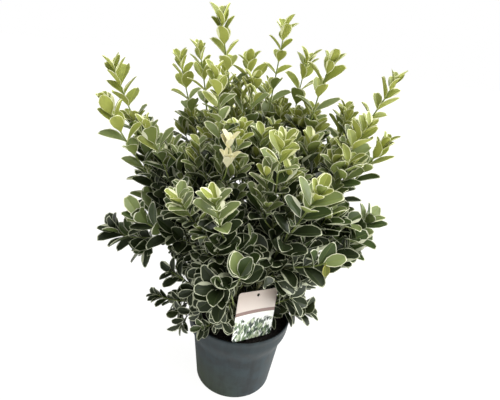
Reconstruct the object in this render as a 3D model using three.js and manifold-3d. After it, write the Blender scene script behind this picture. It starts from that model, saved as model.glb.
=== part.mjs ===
// A variegated evergreen shrub in a plastic nursery pot, with a plain picture card on the rim.
// Millimetres, +Z up. The origin is the centre of the pot's flat underside, and -Y is the front.
import * as THREE from "three";
import { mergeVertices } from "three/addons/utils/BufferGeometryUtils.js";
import Module from "manifold-3d";

const wasm = await Module();
wasm.setup();

const DEG = Math.PI / 180;
const UP = new THREE.Vector3(0, 0, 1);

// Clearance between two pieces that touch on the real plant
const SEAT = 0.3;

// Nursery pot of three litres: a tapered body, a flared collar and a thick rim
const POT = {
  height: 149,
  rimRadius: 95,
  rimInner: 91.7,
  rimDepth: 5,
  collarRadius: 92.8,
  collarFoot: 121,
  shoulderRadius: 84,
  shoulder: 110,
  baseRadius: 71.5,
  heel: 5,
  wall: 2,
  floor: 2.5,
  facets: 32,
};
const DRAIN = { count: 8, radius: 5, circle: 54, facets: 8 };

// Compost, a little higher round the plant than at the wall
const COMPOST = { edge: 131, middle: 134, flat: 32 };

// Short trunk where all the stems join, hidden by the lowest leaves. The flare and waist are shares of
// its height.
const TRUNK = {
  footRadius: 27,
  flareRadius: 23.5,
  waistRadius: 21.5,
  topRadius: 19.5,
  flare: 0.12,
  waist: 0.35,
  height: 34,
  facets: 16,
};
const TRUNK_FOOT = COMPOST.middle + SEAT;
const TRUNK_TOP = TRUNK_FOOT + TRUNK.height;

// Boughs stand in a ring on the trunk, one in the middle. Each rises, leans out and forks at a share of
// the way to its shoots, heading for them with a little lift.
const BOUGH = {
  footRadius: 4,
  forkRadius: 3,
  ring: 14.8,
  ringStart: 10,
  rise: 16,
  forkReach: 0.44,
  forkRise: 0.36,
  lift: 0.35,
  bend: 0.42,
  facets: 6,
  steps: 6,
};

// Each shoot carries one mass of foliage. Bearing in degrees from +X, reach from the axis and height of
// its top leaves.
const shoot = (bearing, reach, height) => ({ bearing, reach, height });
const BOUGHS = {
  right_back: [shoot(0, 97, 620), shoot(6, 203, 603)],
  back_right: [shoot(50, 104, 619), shoot(38, 205, 500), shoot(62, 190, 385)],
  back: [shoot(72, 64, 659), shoot(88, 190, 560), shoot(97, 210, 400)],
  back_left: [shoot(120, 165, 580), shoot(132, 220, 410)],
  left_back: [shoot(150, 180, 595), shoot(155, 130, 614), shoot(152, 225, 420)],
  left: [shoot(185, 248, 524), shoot(171, 258, 576), shoot(192, 185, 500), shoot(187, 240, 312)],
  near_left: [shoot(231, 116, 592), shoot(235, 183, 432), shoot(207, 200, 370)],
  near: [shoot(256, 206, 457), shoot(268, 196, 350)],
  near_right: [shoot(283, 144, 527), shoot(297, 188, 469), shoot(314, 180, 350)],
  right: [shoot(339, 169, 546), shoot(354, 200, 511), shoot(354, 206, 381)],
};
const CENTRE_BOUGH = { name: "centre", shoots: [shoot(180, 80, 658), shoot(150, 42, 608)] };

// Low shoots that leave the trunk's flank halfway up and spread over the rim
const SKIRT_RISE = 0.55;
const SKIRTS = [
  shoot(30, 150, 180),
  shoot(76, 140, 205),
  shoot(122, 150, 185),
  shoot(187, 171, 182),
  shoot(205, 150, 262),
  shoot(236, 125, 180),
  shoot(262, 150, 290),
  shoot(338, 112, 222),
  shoot(355, 138, 182),
];

// Growth of one shoot. Leaves stand in opposite pairs, each pair a quarter turn from the last. Angles
// are in degrees, bends, places and sizes without a unit are shares of the length.
const SHOOT = {
  footRadius: 1.9,
  tipRadius: 1.1,
  spacing: 3.1,
  footBend: 0.3,
  tipBend: 0.34,
  bare: 34,
  internode: 34,
  turnSpread: 24,
  rollSpread: 30,
  topLeaf: 20,
  spaceFrom: 0.45,
  sides: 3,
  step: 60,
  lowTilt: 62,
  highTilt: 14,
  lowHeight: 170,
  highHeight: 650,
};
const TWIG = {
  radius: 1.35,
  tipRadius: 0.95,
  length: 62,
  shortest: 26,
  fade: 1.15,
  lengthSpread: 0.4,
  angle: 52,
  bend: 0.55,
  reach: 0.9,
  lift: 0.21,
  until: 0.55,
  steps: 2,
  firstPair: 0.5,
  lastPair: 0.94,
  twoPairs: 34,
  pairTurn: 20,
  endAngle: 48,
  leaf: 0.94,
  stations: [0.4, 0.55, 0.7, 0.85, 1],
};
// Stations are shares of a leaf's length and half width, where its room is tested
const LEAF = {
  length: 46,
  width: 27,
  thick: 1.5,
  widest: 0.58,
  keel: 0.34,
  cup: 2.6,
  root: 0.3,
  topDepth: 3,
  angle: 56,
  tipAngle: 36,
  budAngle: 24,
  youngest: 0.74,
  tries: [1, 0.55],
  stations: [
    [0.18, 0.4],
    [0.4, 0.85],
    [0.6, 1],
    [0.8, 0.6],
    [1, 0],
  ],
};

// Least distances that keep a leaf or twig out of the next mass, the limbs, the pot and the card
const CLEAR = { cell: 1, limb: 4.5, twigLimb: 2.2, card: 6, rimBand: 6, above: 3 };

// Picture card with a hole at its top, one lower corner on the rim and the other over the compost
const CARD = {
  width: 84,
  height: 88,
  thick: 0.9,
  corner: 5,
  hole: 3,
  holeDrop: 8,
  foot: new THREE.Vector3(-8, -95.6, 151),
  yaw: 38,
  lean: 8,
  spin: -8.7,
};

const COLOURS = {
  pot: 0x4e5557,
  compost: 0x2a211b,
  bark: 0x5a5038,
  bough: 0x566039,
  leafOld: 0x3f5632,
  leafYoung: 0x7c9440,
  card: 0xd9d0c6,
};

const part = new THREE.Group();

// Solids and meshes

function closed(geometry) {
  const bare = geometry.clone();
  bare.deleteAttribute("normal");
  bare.deleteAttribute("uv");
  return mergeVertices(bare, 1e-4);
}

function solidOf(geometry) {
  const merged = closed(geometry);
  const points = merged.getAttribute("position").array;
  const faces = merged.getIndex().array;
  const mesh = new wasm.Mesh({
    numProp: 3,
    vertProperties: Float32Array.from(points),
    triVerts: Uint32Array.from(faces),
  });
  return new wasm.Manifold(mesh);
}

function geometryOf(solid) {
  const mesh = solid.getMesh();
  const geometry = new THREE.BufferGeometry();
  geometry.setAttribute("position", new THREE.BufferAttribute(Float32Array.from(mesh.vertProperties), 3));
  geometry.setIndex(new THREE.BufferAttribute(Uint32Array.from(mesh.triVerts), 1));
  return geometry;
}

function addPiece(name, geometry, colour, roughness) {
  const finish = new THREE.MeshStandardMaterial({ color: colour, roughness, metalness: 0 });
  const mesh = new THREE.Mesh(geometry, finish);
  mesh.name = name;
  part.add(mesh);
}

function turned(profile, facets) {
  const geometry = new THREE.LatheGeometry(profile.map(([r, z]) => new THREE.Vector2(r, z)), facets);
  geometry.rotateX(90 * DEG);
  return geometry;
}

// Seeded numbers from 0 to 1, the same in any language
function dice(seed) {
  let state = (seed * 7919) % 2147483647;
  return () => {
    state = (state * 16807) % 2147483647;
    return state / 2147483647;
  };
}

function polar(bearing, reach, height) {
  return new THREE.Vector3(reach * Math.cos(bearing * DEG), reach * Math.sin(bearing * DEG), height);
}

// Pot, compost and trunk

function potSkin(height) {
  const { baseRadius, shoulderRadius, shoulder, collarRadius, collarFoot, rimRadius } = POT;
  const between = (a, b, low, high) => a + ((b - a) * (height - low)) / (high - low);
  if (height < shoulder) return between(baseRadius, shoulderRadius, 0, shoulder);
  if (height < collarFoot) return between(shoulderRadius, collarRadius, shoulder, collarFoot);
  return between(collarRadius, rimRadius, collarFoot, POT.height);
}

function potProfile() {
  const { baseRadius, heel, height, wall, floor, rimInner, rimDepth, shoulder, collarFoot } = POT;
  const heelPoints = [0, 45, 90].map((turn) => [
    baseRadius - heel * (1 - Math.sin(turn * DEG)),
    heel * (1 - Math.cos(turn * DEG)),
  ]);
  const inside = (level) => [potSkin(level) - wall, level];
  return [
    [0, 0],
    ...heelPoints,
    [potSkin(shoulder), shoulder],
    [potSkin(collarFoot), collarFoot],
    [potSkin(height), height],
    [rimInner, height],
    [rimInner - 0.6, height - rimDepth],
    inside(collarFoot + 2),
    inside(shoulder + 2),
    inside(floor + heel),
    [potSkin(floor) - wall - heel, floor],
    [0, floor],
  ];
}

function makePot() {
  let pot = solidOf(turned(potProfile(), POT.facets));
  for (let i = 0; i < DRAIN.count; i += 1) {
    const drill = new THREE.CylinderGeometry(DRAIN.radius, DRAIN.radius, 4 * POT.floor, DRAIN.facets);
    drill.rotateX(90 * DEG);
    const centre = polar((360 / DRAIN.count) * i, DRAIN.circle, 0);
    drill.translate(centre.x, centre.y, centre.z);
    pot = pot.subtract(solidOf(drill));
  }
  addPiece("pot", geometryOf(pot), COLOURS.pot, 0.55);
}

function makeCompost() {
  const { wall, floor, heel, shoulder, collarFoot, facets } = POT;
  const inside = (level, skin = level) => [potSkin(skin) - wall - SEAT, level];
  const profile = [
    [0, floor + SEAT],
    [potSkin(floor) - wall - heel - SEAT, floor + SEAT],
    inside(floor + heel),
    inside(shoulder + 2),
    inside(collarFoot + 2),
    inside(COMPOST.edge, collarFoot + 2),
    [COMPOST.flat, COMPOST.middle],
    [0, COMPOST.middle],
  ];
  addPiece("compost", turned(profile, facets), COLOURS.compost, 0.95);
}

function makeTrunk() {
  const { footRadius, flareRadius, waistRadius, topRadius, flare, waist, height, facets } = TRUNK;
  const profile = [
    [0, TRUNK_FOOT],
    [footRadius, TRUNK_FOOT],
    [flareRadius, TRUNK_FOOT + height * flare],
    [waistRadius, TRUNK_FOOT + height * waist],
    [topRadius, TRUNK_TOP],
    [0, TRUNK_TOP],
  ];
  addPiece("trunk", turned(profile, facets), COLOURS.bark, 0.85);
}

// Limbs: a cylinder whose rings are set square to a curve, with the axis named by its own polyline

function limbGeometry(curve, ref, footRadius, tipRadius, sides, steps) {
  const geometry = new THREE.CylinderGeometry(tipRadius, footRadius, 1, sides, steps);
  const position = geometry.getAttribute("position");
  for (let i = 0; i < position.count; i += 1) {
    const along = position.getY(i) + 0.5;
    const centre = curve.getPoint(along);
    const tangent = curve.getTangent(along);
    const across = ref.clone().addScaledVector(tangent, -ref.dot(tangent)).normalize();
    const third = tangent.clone().cross(across);
    centre.addScaledVector(across, position.getX(i)).addScaledVector(third, -position.getZ(i));
    position.setXYZ(i, centre.x, centre.y, centre.z);
  }
  return geometry;
}

// Polyline of a curve from a share of its length on, used to measure distances
function axisOf(curve, radius, from = 0) {
  const count = 14;
  return { points: curve.getPoints(count).slice(Math.round(from * count)), radius };
}

function distanceTo(axis, point) {
  const segment = new THREE.Line3();
  const nearest = new THREE.Vector3();
  let best = Infinity;
  for (let i = 1; i < axis.points.length; i += 1) {
    segment.set(axis.points[i - 1], axis.points[i]);
    segment.closestPointToPoint(point, true, nearest);
    best = Math.min(best, nearest.distanceTo(point));
  }
  return best;
}

// Tilt from upright of a shoot's top: high shoots stand up, low ones lean out
function tipDirection({ bearing, height }) {
  const { lowTilt, highTilt, lowHeight, highHeight } = SHOOT;
  const share = THREE.MathUtils.clamp((height - lowHeight) / (highHeight - lowHeight), 0, 1);
  const tilt = (lowTilt + (highTilt - lowTilt) * share) * DEG;
  return polar(bearing, Math.sin(tilt), Math.cos(tilt));
}

function stemTip(target) {
  const top = polar(target.bearing, target.reach, target.height);
  return top.addScaledVector(tipDirection(target), -SHOOT.topLeaf);
}

function levelNormal(direction, fallback) {
  const ref = direction.clone().cross(UP);
  return ref.length() > 0.05 ? ref.normalize() : polar(fallback + 90, 1, 0);
}

function planBough(name, shoots, foot) {
  const mean = new THREE.Vector3();
  shoots.forEach((target) => mean.addScaledVector(stemTip(target), 1 / shoots.length));
  const bearing = Math.atan2(mean.y, mean.x) / DEG;
  const reach = Math.max(BOUGH.forkReach * Math.hypot(mean.x, mean.y), Math.hypot(foot.x, foot.y));
  const fork = polar(bearing, reach, TRUNK_TOP + BOUGH.forkRise * (mean.z - TRUNK_TOP));
  const away = mean.clone().sub(fork).normalize().addScaledVector(UP, BOUGH.lift).normalize();
  const span = fork.distanceTo(foot);
  const curve = new THREE.CubicBezierCurve3(
    foot,
    foot.clone().addScaledVector(UP, BOUGH.rise),
    fork.clone().addScaledVector(away, -BOUGH.bend * span),
    fork,
  );
  const ref = levelNormal(fork.clone().sub(foot).setZ(0), bearing);
  return { name, shoots, bearing, curve, ref, fork, away, axis: axisOf(curve, BOUGH.footRadius) };
}

function planBoughs() {
  const names = Object.keys(BOUGHS);
  const plans = names.map((name, i) => {
    const stand = BOUGH.ringStart + (360 / names.length) * i;
    return planBough(name, BOUGHS[name], polar(stand, BOUGH.ring, TRUNK_TOP + SEAT));
  });
  const middle = new THREE.Vector3(0, 0, TRUNK_TOP + SEAT);
  plans.push(planBough(CENTRE_BOUGH.name, CENTRE_BOUGH.shoots, middle));
  return plans;
}

// Shoots stand round their bough's fork, spread evenly and turned towards where they go
function planShoots(bough) {
  const side = bough.ref.clone().addScaledVector(bough.away, -bough.ref.dot(bough.away)).normalize();
  const other = bough.away.clone().cross(side);
  const placed = bough.shoots.map((target) => {
    const goal = stemTip(target).sub(bough.fork);
    return { target, turn: Math.atan2(goal.dot(other), goal.dot(side)) };
  });
  placed.sort((a, b) => a.turn - b.turn);
  const share = (2 * Math.PI) / placed.length;
  let lead = 0;
  placed.forEach((item, i) => {
    lead += (item.turn - share * i) / placed.length;
  });
  return placed.map(({ target }, i) => {
    const turn = lead + share * i;
    const start = bough.fork
      .clone()
      .addScaledVector(bough.away, SEAT)
      .addScaledVector(side, SHOOT.spacing * Math.cos(turn))
      .addScaledVector(other, SHOOT.spacing * Math.sin(turn));
    return planStem(`foliage_${bough.name}_${i + 1}`, target, start, bough.away);
  });
}

function planStem(name, target, start, setOff) {
  const end = stemTip(target);
  const span = end.distanceTo(start);
  const curve = new THREE.CubicBezierCurve3(
    start,
    start.clone().addScaledVector(setOff, SHOOT.footBend * span),
    end.clone().addScaledVector(tipDirection(target), -SHOOT.tipBend * span),
    end,
  );
  const ref = levelNormal(end.clone().sub(start).setZ(0), target.bearing);
  const axis = axisOf(curve, SHOOT.footRadius);
  const space = axisOf(curve, 0, SHOOT.spaceFrom);
  return { name, target, curve, ref, length: curve.getLength(), axis, space };
}

function planSkirts() {
  return SKIRTS.map((target, i) => {
    const level = TRUNK_FOOT + 0.5 * TRUNK.height;
    const start = polar(target.bearing, TRUNK.waistRadius + SEAT, level);
    const setOff = polar(target.bearing, 1, SKIRT_RISE).normalize();
    return planStem(`foliage_low_${i + 1}`, target, start, setOff);
  });
}

const boughs = planBoughs();
const stems = [...boughs.flatMap(planShoots), ...planSkirts()];

// The card's own directions

const card = (() => {
  const yaw = CARD.yaw * DEG;
  const lean = CARD.lean * DEG;
  const spin = CARD.spin * DEG;
  const level = new THREE.Vector3(Math.cos(yaw), Math.sin(yaw), 0);
  const face = new THREE.Vector3(Math.sin(yaw), -Math.cos(yaw), 0);
  const rise = UP.clone().multiplyScalar(Math.cos(lean)).addScaledVector(face, -Math.sin(lean));
  const right = level.clone().multiplyScalar(Math.cos(spin)).addScaledVector(rise, Math.sin(spin));
  const up = rise.clone().multiplyScalar(Math.cos(spin)).addScaledVector(level, -Math.sin(spin));
  return { right, up, normal: right.clone().cross(up), foot: CARD.foot };
})();

// Room for a twig or leaf: nearer to the upper part of its own stem than to that of any other, and clear
// of all the limbs, the pot and the card

function nearCard(point) {
  const local = point.clone().sub(card.foot);
  const across = local.dot(card.right);
  const along = local.dot(card.up);
  const off = Math.abs(local.dot(card.normal));
  const pad = CLEAR.card;
  const inside = across > -pad && across < CARD.width + pad && along > -pad && along < CARD.height + pad;
  return inside && off < pad;
}

function nearPot(point) {
  const radius = Math.hypot(point.x, point.y);
  if (point.z > POT.height + CLEAR.above) return false;
  if (radius > potSkin(Math.max(point.z, 0)) + CLEAR.rimBand) return false;
  return radius > POT.rimInner - CLEAR.rimBand || point.z < COMPOST.middle + CLEAR.above;
}

function nearTrunk(point) {
  return Math.hypot(point.x, point.y) < TRUNK.footRadius + 1 && point.z < TRUNK_TOP + 1;
}

function hasRoom(points, own, limbGap) {
  return points.every((point) => {
    if (nearCard(point) || nearPot(point) || nearTrunk(point)) return false;
    const touches = ({ axis }) => distanceTo(axis, point) < axis.radius + limbGap;
    if (boughs.some(touches)) return false;
    const here = distanceTo(own.space, point) + 2 * CLEAR.cell;
    return stems.every((stem) => stem === own || (distanceTo(stem.space, point) > here && !touches(stem)));
  });
}

// Leaves and twigs

function leafFrame(centre, axis, out, angle, roll) {
  const along = axis.clone().multiplyScalar(Math.cos(angle)).addScaledVector(out, Math.sin(angle));
  const normal = axis.clone().multiplyScalar(Math.sin(angle)).addScaledVector(out, -Math.cos(angle));
  normal.applyAxisAngle(along, roll);
  const across = along.clone().cross(normal);
  return { root: centre.clone().addScaledVector(along, -LEAF.root), along, normal, across };
}

function leafPoint(frame, share, side, lift, size) {
  return frame.root
    .clone()
    .addScaledVector(frame.along, share * size * LEAF.length)
    .addScaledVector(frame.across, (side * size * LEAF.width) / 2)
    .addScaledVector(frame.normal, lift);
}

function leafSolid(frame, size) {
  const geometry = new THREE.OctahedronGeometry(1, 0);
  const position = geometry.getAttribute("position");
  for (let i = 0; i < position.count; i += 1) {
    const [x, y, z] = [position.getX(i), position.getY(i), position.getZ(i)];
    let corner = leafPoint(frame, y > 0 ? 1 : 0, 0, 0, size);
    if (Math.abs(x) > 0.5) corner = leafPoint(frame, LEAF.widest, x, LEAF.cup, size);
    if (Math.abs(z) > 0.5) corner = leafPoint(frame, LEAF.keel, 0, (z * LEAF.thick) / 2, size);
    position.setXYZ(i, corner.x, corner.y, corner.z);
  }
  return outward(geometry);
}

function leafSamples(frame, size) {
  return LEAF.stations.flatMap(([share, half]) => [
    leafPoint(frame, share, -half, LEAF.cup * half, size),
    leafPoint(frame, share, 0, 0, size),
    leafPoint(frame, share, half, LEAF.cup * half, size),
  ]);
}

function outward(geometry) {
  const solid = solidOf(geometry);
  if (solid.volume() > 0) return solid;
  const flipped = closed(geometry);
  const index = flipped.getIndex().array;
  for (let i = 0; i < index.length; i += 3) {
    [index[i], index[i + 1]] = [index[i + 1], index[i]];
  }
  return solidOf(flipped);
}

// One opposite pair of leaves at a node of a stem or twig. A leaf without room is tried steeper, then
// left out.
function leafPair(node, own, angle, size, roll) {
  const solids = [];
  [0, 180].forEach((half) => {
    const out = node.out.clone().applyAxisAngle(node.tangent, half * DEG);
    const tilts = LEAF.tries.map((share) => share * angle * DEG);
    const frames = tilts.map((tilt) => leafFrame(node.centre, node.tangent, out, tilt, roll * DEG));
    const frame = frames.find((item) => hasRoom(leafSamples(item, size), own, CLEAR.limb));
    if (frame) solids.push(leafSolid(frame, size));
  });
  return solids;
}

// A node sits on the straight run between two rings of its limb, so that its leaves root inside it
function nodeAt(curve, steps, share, ref, turn) {
  const place = curve.getUtoTmapping(share) * steps;
  const ring = Math.min(Math.floor(place), steps - 1);
  const centre = curve.getPoint(ring / steps).lerp(curve.getPoint((ring + 1) / steps), place - ring);
  const tangent = curve.getTangentAt(share);
  const across = ref.clone().addScaledVector(tangent, -ref.dot(tangent)).normalize();
  return { centre, tangent, out: across.applyAxisAngle(tangent, turn * DEG) };
}

// A side twig that sets off at an angle and lifts towards the light. One with no leaf is left out.
function growTwig(node, own, length, roll) {
  const setOff = node.tangent
    .clone()
    .multiplyScalar(Math.cos(TWIG.angle * DEG))
    .addScaledVector(node.out, Math.sin(TWIG.angle * DEG));
  const middle = node.centre.clone().addScaledVector(setOff, TWIG.bend * length);
  const end = node.centre.clone().addScaledVector(setOff, TWIG.reach * length);
  end.addScaledVector(UP, TWIG.lift * length);
  const curve = new THREE.QuadraticBezierCurve3(node.centre, middle, end);
  const checks = TWIG.stations.map((share) => curve.getPoint(share));
  if (!hasRoom(checks, own, CLEAR.twigLimb)) return [];
  const ref = levelNormal(setOff, own.target.bearing);
  const solids = [outward(limbGeometry(curve, ref, TWIG.radius, TWIG.tipRadius, SHOOT.sides, TWIG.steps))];
  const pairs = length > TWIG.twoPairs ? [TWIG.firstPair, TWIG.lastPair] : [TWIG.lastPair];
  pairs.forEach((share, i) => {
    const spot = nodeAt(curve, TWIG.steps, share, ref, 90 * i + TWIG.pairTurn + roll);
    const angle = share === TWIG.lastPair ? TWIG.endAngle : LEAF.angle;
    solids.push(...leafPair(spot, own, angle, TWIG.leaf, roll));
  });
  return solids.length > 1 ? solids : [];
}

function growShoot(stem, index) {
  const roll = dice(index + 1);
  const steps = Math.max(3, Math.round(stem.length / SHOOT.step));
  const body = limbGeometry(stem.curve, stem.ref, SHOOT.footRadius, SHOOT.tipRadius, SHOOT.sides, steps);
  const solids = [outward(body)];
  const phase = 90 * roll();
  const count = Math.floor((stem.length - SHOOT.bare - LEAF.topDepth) / SHOOT.internode) + 1;
  for (let k = 0; k < count; k += 1) {
    const share = (SHOOT.bare + k * SHOOT.internode) / stem.length;
    const turn = phase + 90 * k + SHOOT.turnSpread * (roll() - 0.5);
    const node = nodeAt(stem.curve, steps, share, stem.ref, turn);
    const tilt = SHOOT.rollSpread * (roll() - 0.5);
    const young = Math.max(0, 2 * share - 1);
    const angle = LEAF.angle + (LEAF.tipAngle - LEAF.angle) * young;
    const size = 1 + (LEAF.youngest - 1) * young;
    if (share > TWIG.until || k % 2 === 1) {
      solids.push(...leafPair(node, stem, angle, size, tilt));
      continue;
    }
    [0, 180].forEach((half) => {
      const out = node.out.clone().applyAxisAngle(node.tangent, half * DEG);
      const luck = 1 + TWIG.lengthSpread * (roll() - 0.5);
      const length = Math.max(TWIG.shortest, TWIG.length * (TWIG.fade - share) * luck);
      solids.push(...growTwig({ ...node, out }, stem, length, tilt));
    });
  }
  const top = nodeAt(stem.curve, steps, 1 - LEAF.topDepth / stem.length, stem.ref, phase + 45);
  solids.push(...leafPair(top, stem, LEAF.budAngle, LEAF.youngest, 0));
  return solids.reduce((sum, solid) => sum.add(solid));
}

// Card

function makeCard() {
  const { width, height, thick, corner, hole, holeDrop } = CARD;
  const outline = new THREE.Shape();
  outline.moveTo(corner, 0);
  outline.lineTo(width - corner, 0);
  outline.absarc(width - corner, corner, corner, -90 * DEG, 0, false);
  outline.absarc(width - corner, height - corner, corner, 0, 90 * DEG, false);
  outline.absarc(corner, height - corner, corner, 90 * DEG, 180 * DEG, false);
  outline.absarc(corner, corner, corner, 180 * DEG, 270 * DEG, false);
  const punch = new THREE.Path();
  punch.absarc(width / 2, height - holeDrop, hole, 0, 360 * DEG, true);
  outline.holes.push(punch);
  const sheet = { depth: thick, bevelEnabled: false, curveSegments: 4 };
  const geometry = new THREE.ExtrudeGeometry(outline, sheet);
  const place = new THREE.Matrix4().makeBasis(card.right, card.up, card.normal);
  geometry.applyMatrix4(place.setPosition(card.foot));
  addPiece("card", closed(geometry), COLOURS.card, 0.4);
}

makePot();
makeCompost();
makeTrunk();
boughs.forEach((bough) => {
  const { footRadius, forkRadius, facets, steps } = BOUGH;
  const body = limbGeometry(bough.curve, bough.ref, footRadius, forkRadius, facets, steps);
  addPiece(`bough_${bough.name}`, geometryOf(outward(body)), COLOURS.bough, 0.75);
});
stems.forEach((stem, index) => {
  const share = THREE.MathUtils.clamp((stem.target.height - 300) / 300, 0, 1);
  const colour = new THREE.Color(COLOURS.leafOld).lerp(new THREE.Color(COLOURS.leafYoung), share);
  addPiece(stem.name, geometryOf(growShoot(stem, index)), colour, 0.45);
});
makeCard();

export default part;
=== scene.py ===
"""A variegated evergreen shrub in a plastic nursery pot with a picture card, dressed around its frame."""
import functools
import math

import bmesh
import bpy
import numpy as np
from mathutils import Matrix, Vector, noise


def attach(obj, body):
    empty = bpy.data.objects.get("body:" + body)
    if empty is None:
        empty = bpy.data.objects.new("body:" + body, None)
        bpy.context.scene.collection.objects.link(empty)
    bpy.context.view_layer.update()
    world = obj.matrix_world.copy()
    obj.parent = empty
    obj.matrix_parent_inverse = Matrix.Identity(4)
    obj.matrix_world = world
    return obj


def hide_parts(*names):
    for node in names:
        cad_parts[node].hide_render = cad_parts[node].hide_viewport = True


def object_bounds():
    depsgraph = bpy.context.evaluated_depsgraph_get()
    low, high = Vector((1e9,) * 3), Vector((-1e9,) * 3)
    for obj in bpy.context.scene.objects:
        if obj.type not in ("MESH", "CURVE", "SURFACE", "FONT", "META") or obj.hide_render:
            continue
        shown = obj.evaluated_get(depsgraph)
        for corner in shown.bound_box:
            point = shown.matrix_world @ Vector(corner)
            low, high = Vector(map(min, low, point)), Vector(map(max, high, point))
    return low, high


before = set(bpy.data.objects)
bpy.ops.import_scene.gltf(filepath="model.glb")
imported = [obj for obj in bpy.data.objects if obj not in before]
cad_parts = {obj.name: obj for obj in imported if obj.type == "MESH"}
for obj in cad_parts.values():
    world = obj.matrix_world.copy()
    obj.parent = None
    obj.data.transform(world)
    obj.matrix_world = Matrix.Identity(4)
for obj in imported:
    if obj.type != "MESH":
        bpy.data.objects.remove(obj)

CAD_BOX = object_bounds()

bl_info = {
    "name": "Potted Variegated Shrub",
    "version": (1, 0, 0),
    "blender": (4, 5, 0),
    "location": "3D View > Sidebar > Shrub",
    "description": "Makes a potted evergreen shrub with cream-edged leaves around its frame",
    "category": "Object",
}

# The growth rule works in millimetres and every finished mesh is in metres
MM = 0.001
UP = np.array([0.0, 0.0, 1.0])

# Nursery pot of three litres, as in the frame, with a rounder heel and lip
POT = {
    "height": 149.0,
    "rim_radius": 95.0,
    "rim_inner": 91.7,
    "rim_depth": 5.0,
    "rim_step": 0.6,
    "rim_tuck": 0.1,
    "collar_radius": 92.8,
    "collar_foot": 121.0,
    "shoulder_radius": 84.0,
    "shoulder": 110.0,
    "base_radius": 71.5,
    "heel": 7.0,
    "wall": 2.0,
    "floor": 2.5,
    "lip": 1.6,
    "kink_below": 14.0,
    "kink_above": 8.0,
    "floor_ring": 30.0,
    "wall_rings": (30.0, 60.0, 80.0),
    "inner_ring": 60.0,
    "kink_ring": 115.0,
    "collar_ring": 136.0,
    "above_heel": 3.0,
    "inner_play": 0.4,
    "sides": 160,
}
DRAIN = {"count": 8, "radius": 5.0, "circle": 54.0}
COMPOST = {
    "edge": 131.0,
    "middle": 134.0,
    "foot_radius": 60.0,
    "wall_rings": (60.0, 104.0, 115.0),
    "play": 0.2,
    "sunk": 0.8,
    "hub": 0.4,
    "sides": 96,
    "rings": 34,
    "crumb_shapes": 4,
}
# Lumps of the compost's top: how many to a millimetre, and how high
LUMPS = ((0.06, 1.8), (0.25, 0.9))
# A crumb's depth and height as shares of its length, how uneven it is, and the least and the most size
CRUMB = {"depth": 0.75, "height": 0.5, "uneven": 0.6, "sizes": (0.35, 1.25)}
SEAT = 0.3
TRUNK = {
    "foot_radius": 27.0,
    "flare_radius": 23.5,
    "waist_radius": 21.5,
    "top_radius": 19.5,
    "flare": 0.12,
    "waist": 0.35,
    "height": 34.0,
    "rounding": 0.06,
    "sunk": 2.0,
}
TRUNK_FOOT = COMPOST["middle"] + SEAT
TRUNK_TOP = TRUNK_FOOT + TRUNK["height"]

# The frame's limbs: each bough with the bearing, reach and height of the shoots that it carries
BOUGH = {
    "collar": 0.06,
    "collar_radius": 5.6,
    "foot_radius": 4.0,
    "fork_radius": 3.0,
    "ring": 14.8,
    "ring_start": 10.0,
    "rise": 16.0,
    "fork_reach": 0.44,
    "fork_rise": 0.36,
    "lift": 0.35,
    "bend": 0.42,
    "sunk": 3.0,
}
BOUGHS = {
    "right_back": [(0, 97, 620), (6, 203, 603)],
    "back_right": [(50, 104, 619), (38, 205, 500), (62, 190, 385)],
    "back": [(72, 64, 659), (88, 190, 560), (97, 210, 400)],
    "back_left": [(120, 165, 580), (132, 220, 410)],
    "left_back": [(150, 180, 595), (155, 130, 614), (152, 225, 420)],
    "left": [(185, 248, 524), (171, 258, 576), (192, 185, 500), (187, 240, 312)],
    "near_left": [(231, 116, 592), (235, 183, 432), (207, 200, 370)],
    "near": [(256, 206, 457), (268, 196, 350)],
    "near_right": [(283, 144, 527), (297, 188, 469), (314, 180, 350)],
    "right": [(339, 169, 546), (354, 200, 511), (354, 206, 381)],
}
CENTRE_SHOOTS = [(180, 80, 658), (150, 42, 608)]
SKIRT_RISE = 0.55
SKIRT_JOINT = 4.0
SKIRTS = [
    (30, 150, 180),
    (76, 140, 205),
    (122, 150, 185),
    (187, 171, 182),
    (205, 150, 262),
    (236, 125, 180),
    (262, 150, 290),
    (338, 112, 222),
    (355, 138, 182),
]
SHOOT = {
    "foot_radius": 1.9,
    "tip_radius": 1.0,
    "spacing": 3.1,
    "foot_bend": 0.3,
    "tip_bend": 0.34,
    "top_leaf": 20.0,
    "low_tilt": 62.0,
    "high_tilt": 14.0,
    "low_height": 170.0,
    "high_height": 650.0,
    "run": 18.0,
    "fewest_runs": 8,
    "woody": 0.55,
    "joint_radius": 1.95,
    "joint_depth": 6.0,
    "joint_offset": 0.3,
}
# Relief of the bark: furrows round and along a limb, a knob's length, and depths as shares of the relief
BARK = {
    "round": 2.6,
    "along": 5.0,
    "knob": 11.0,
    "worn": 0.35,
    "furrow": 1.6,
    "raised": 0.9,
}

# Finer growth than the frame's. Pairs of leaves crowd at a tip and spread out below it, each pair a quarter
# turn from the last. Below a share of a shoot's length every second pair is a pair of twigs.
PAIRS = {
    "first": 2.0,
    "gap": 5.2,
    "gap_growth": 3.2,
    "longest_gap": 22.0,
    "gap_spread": 0.3,
    "small_leaves": 0.3,
}
# The highest shoots are leggy: their pairs stand further apart, and no twigs grow near their tips
LEGGY = {"from": 500.0, "full": 620.0, "gap": 0.4, "twigs_until": 0.54}
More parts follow.
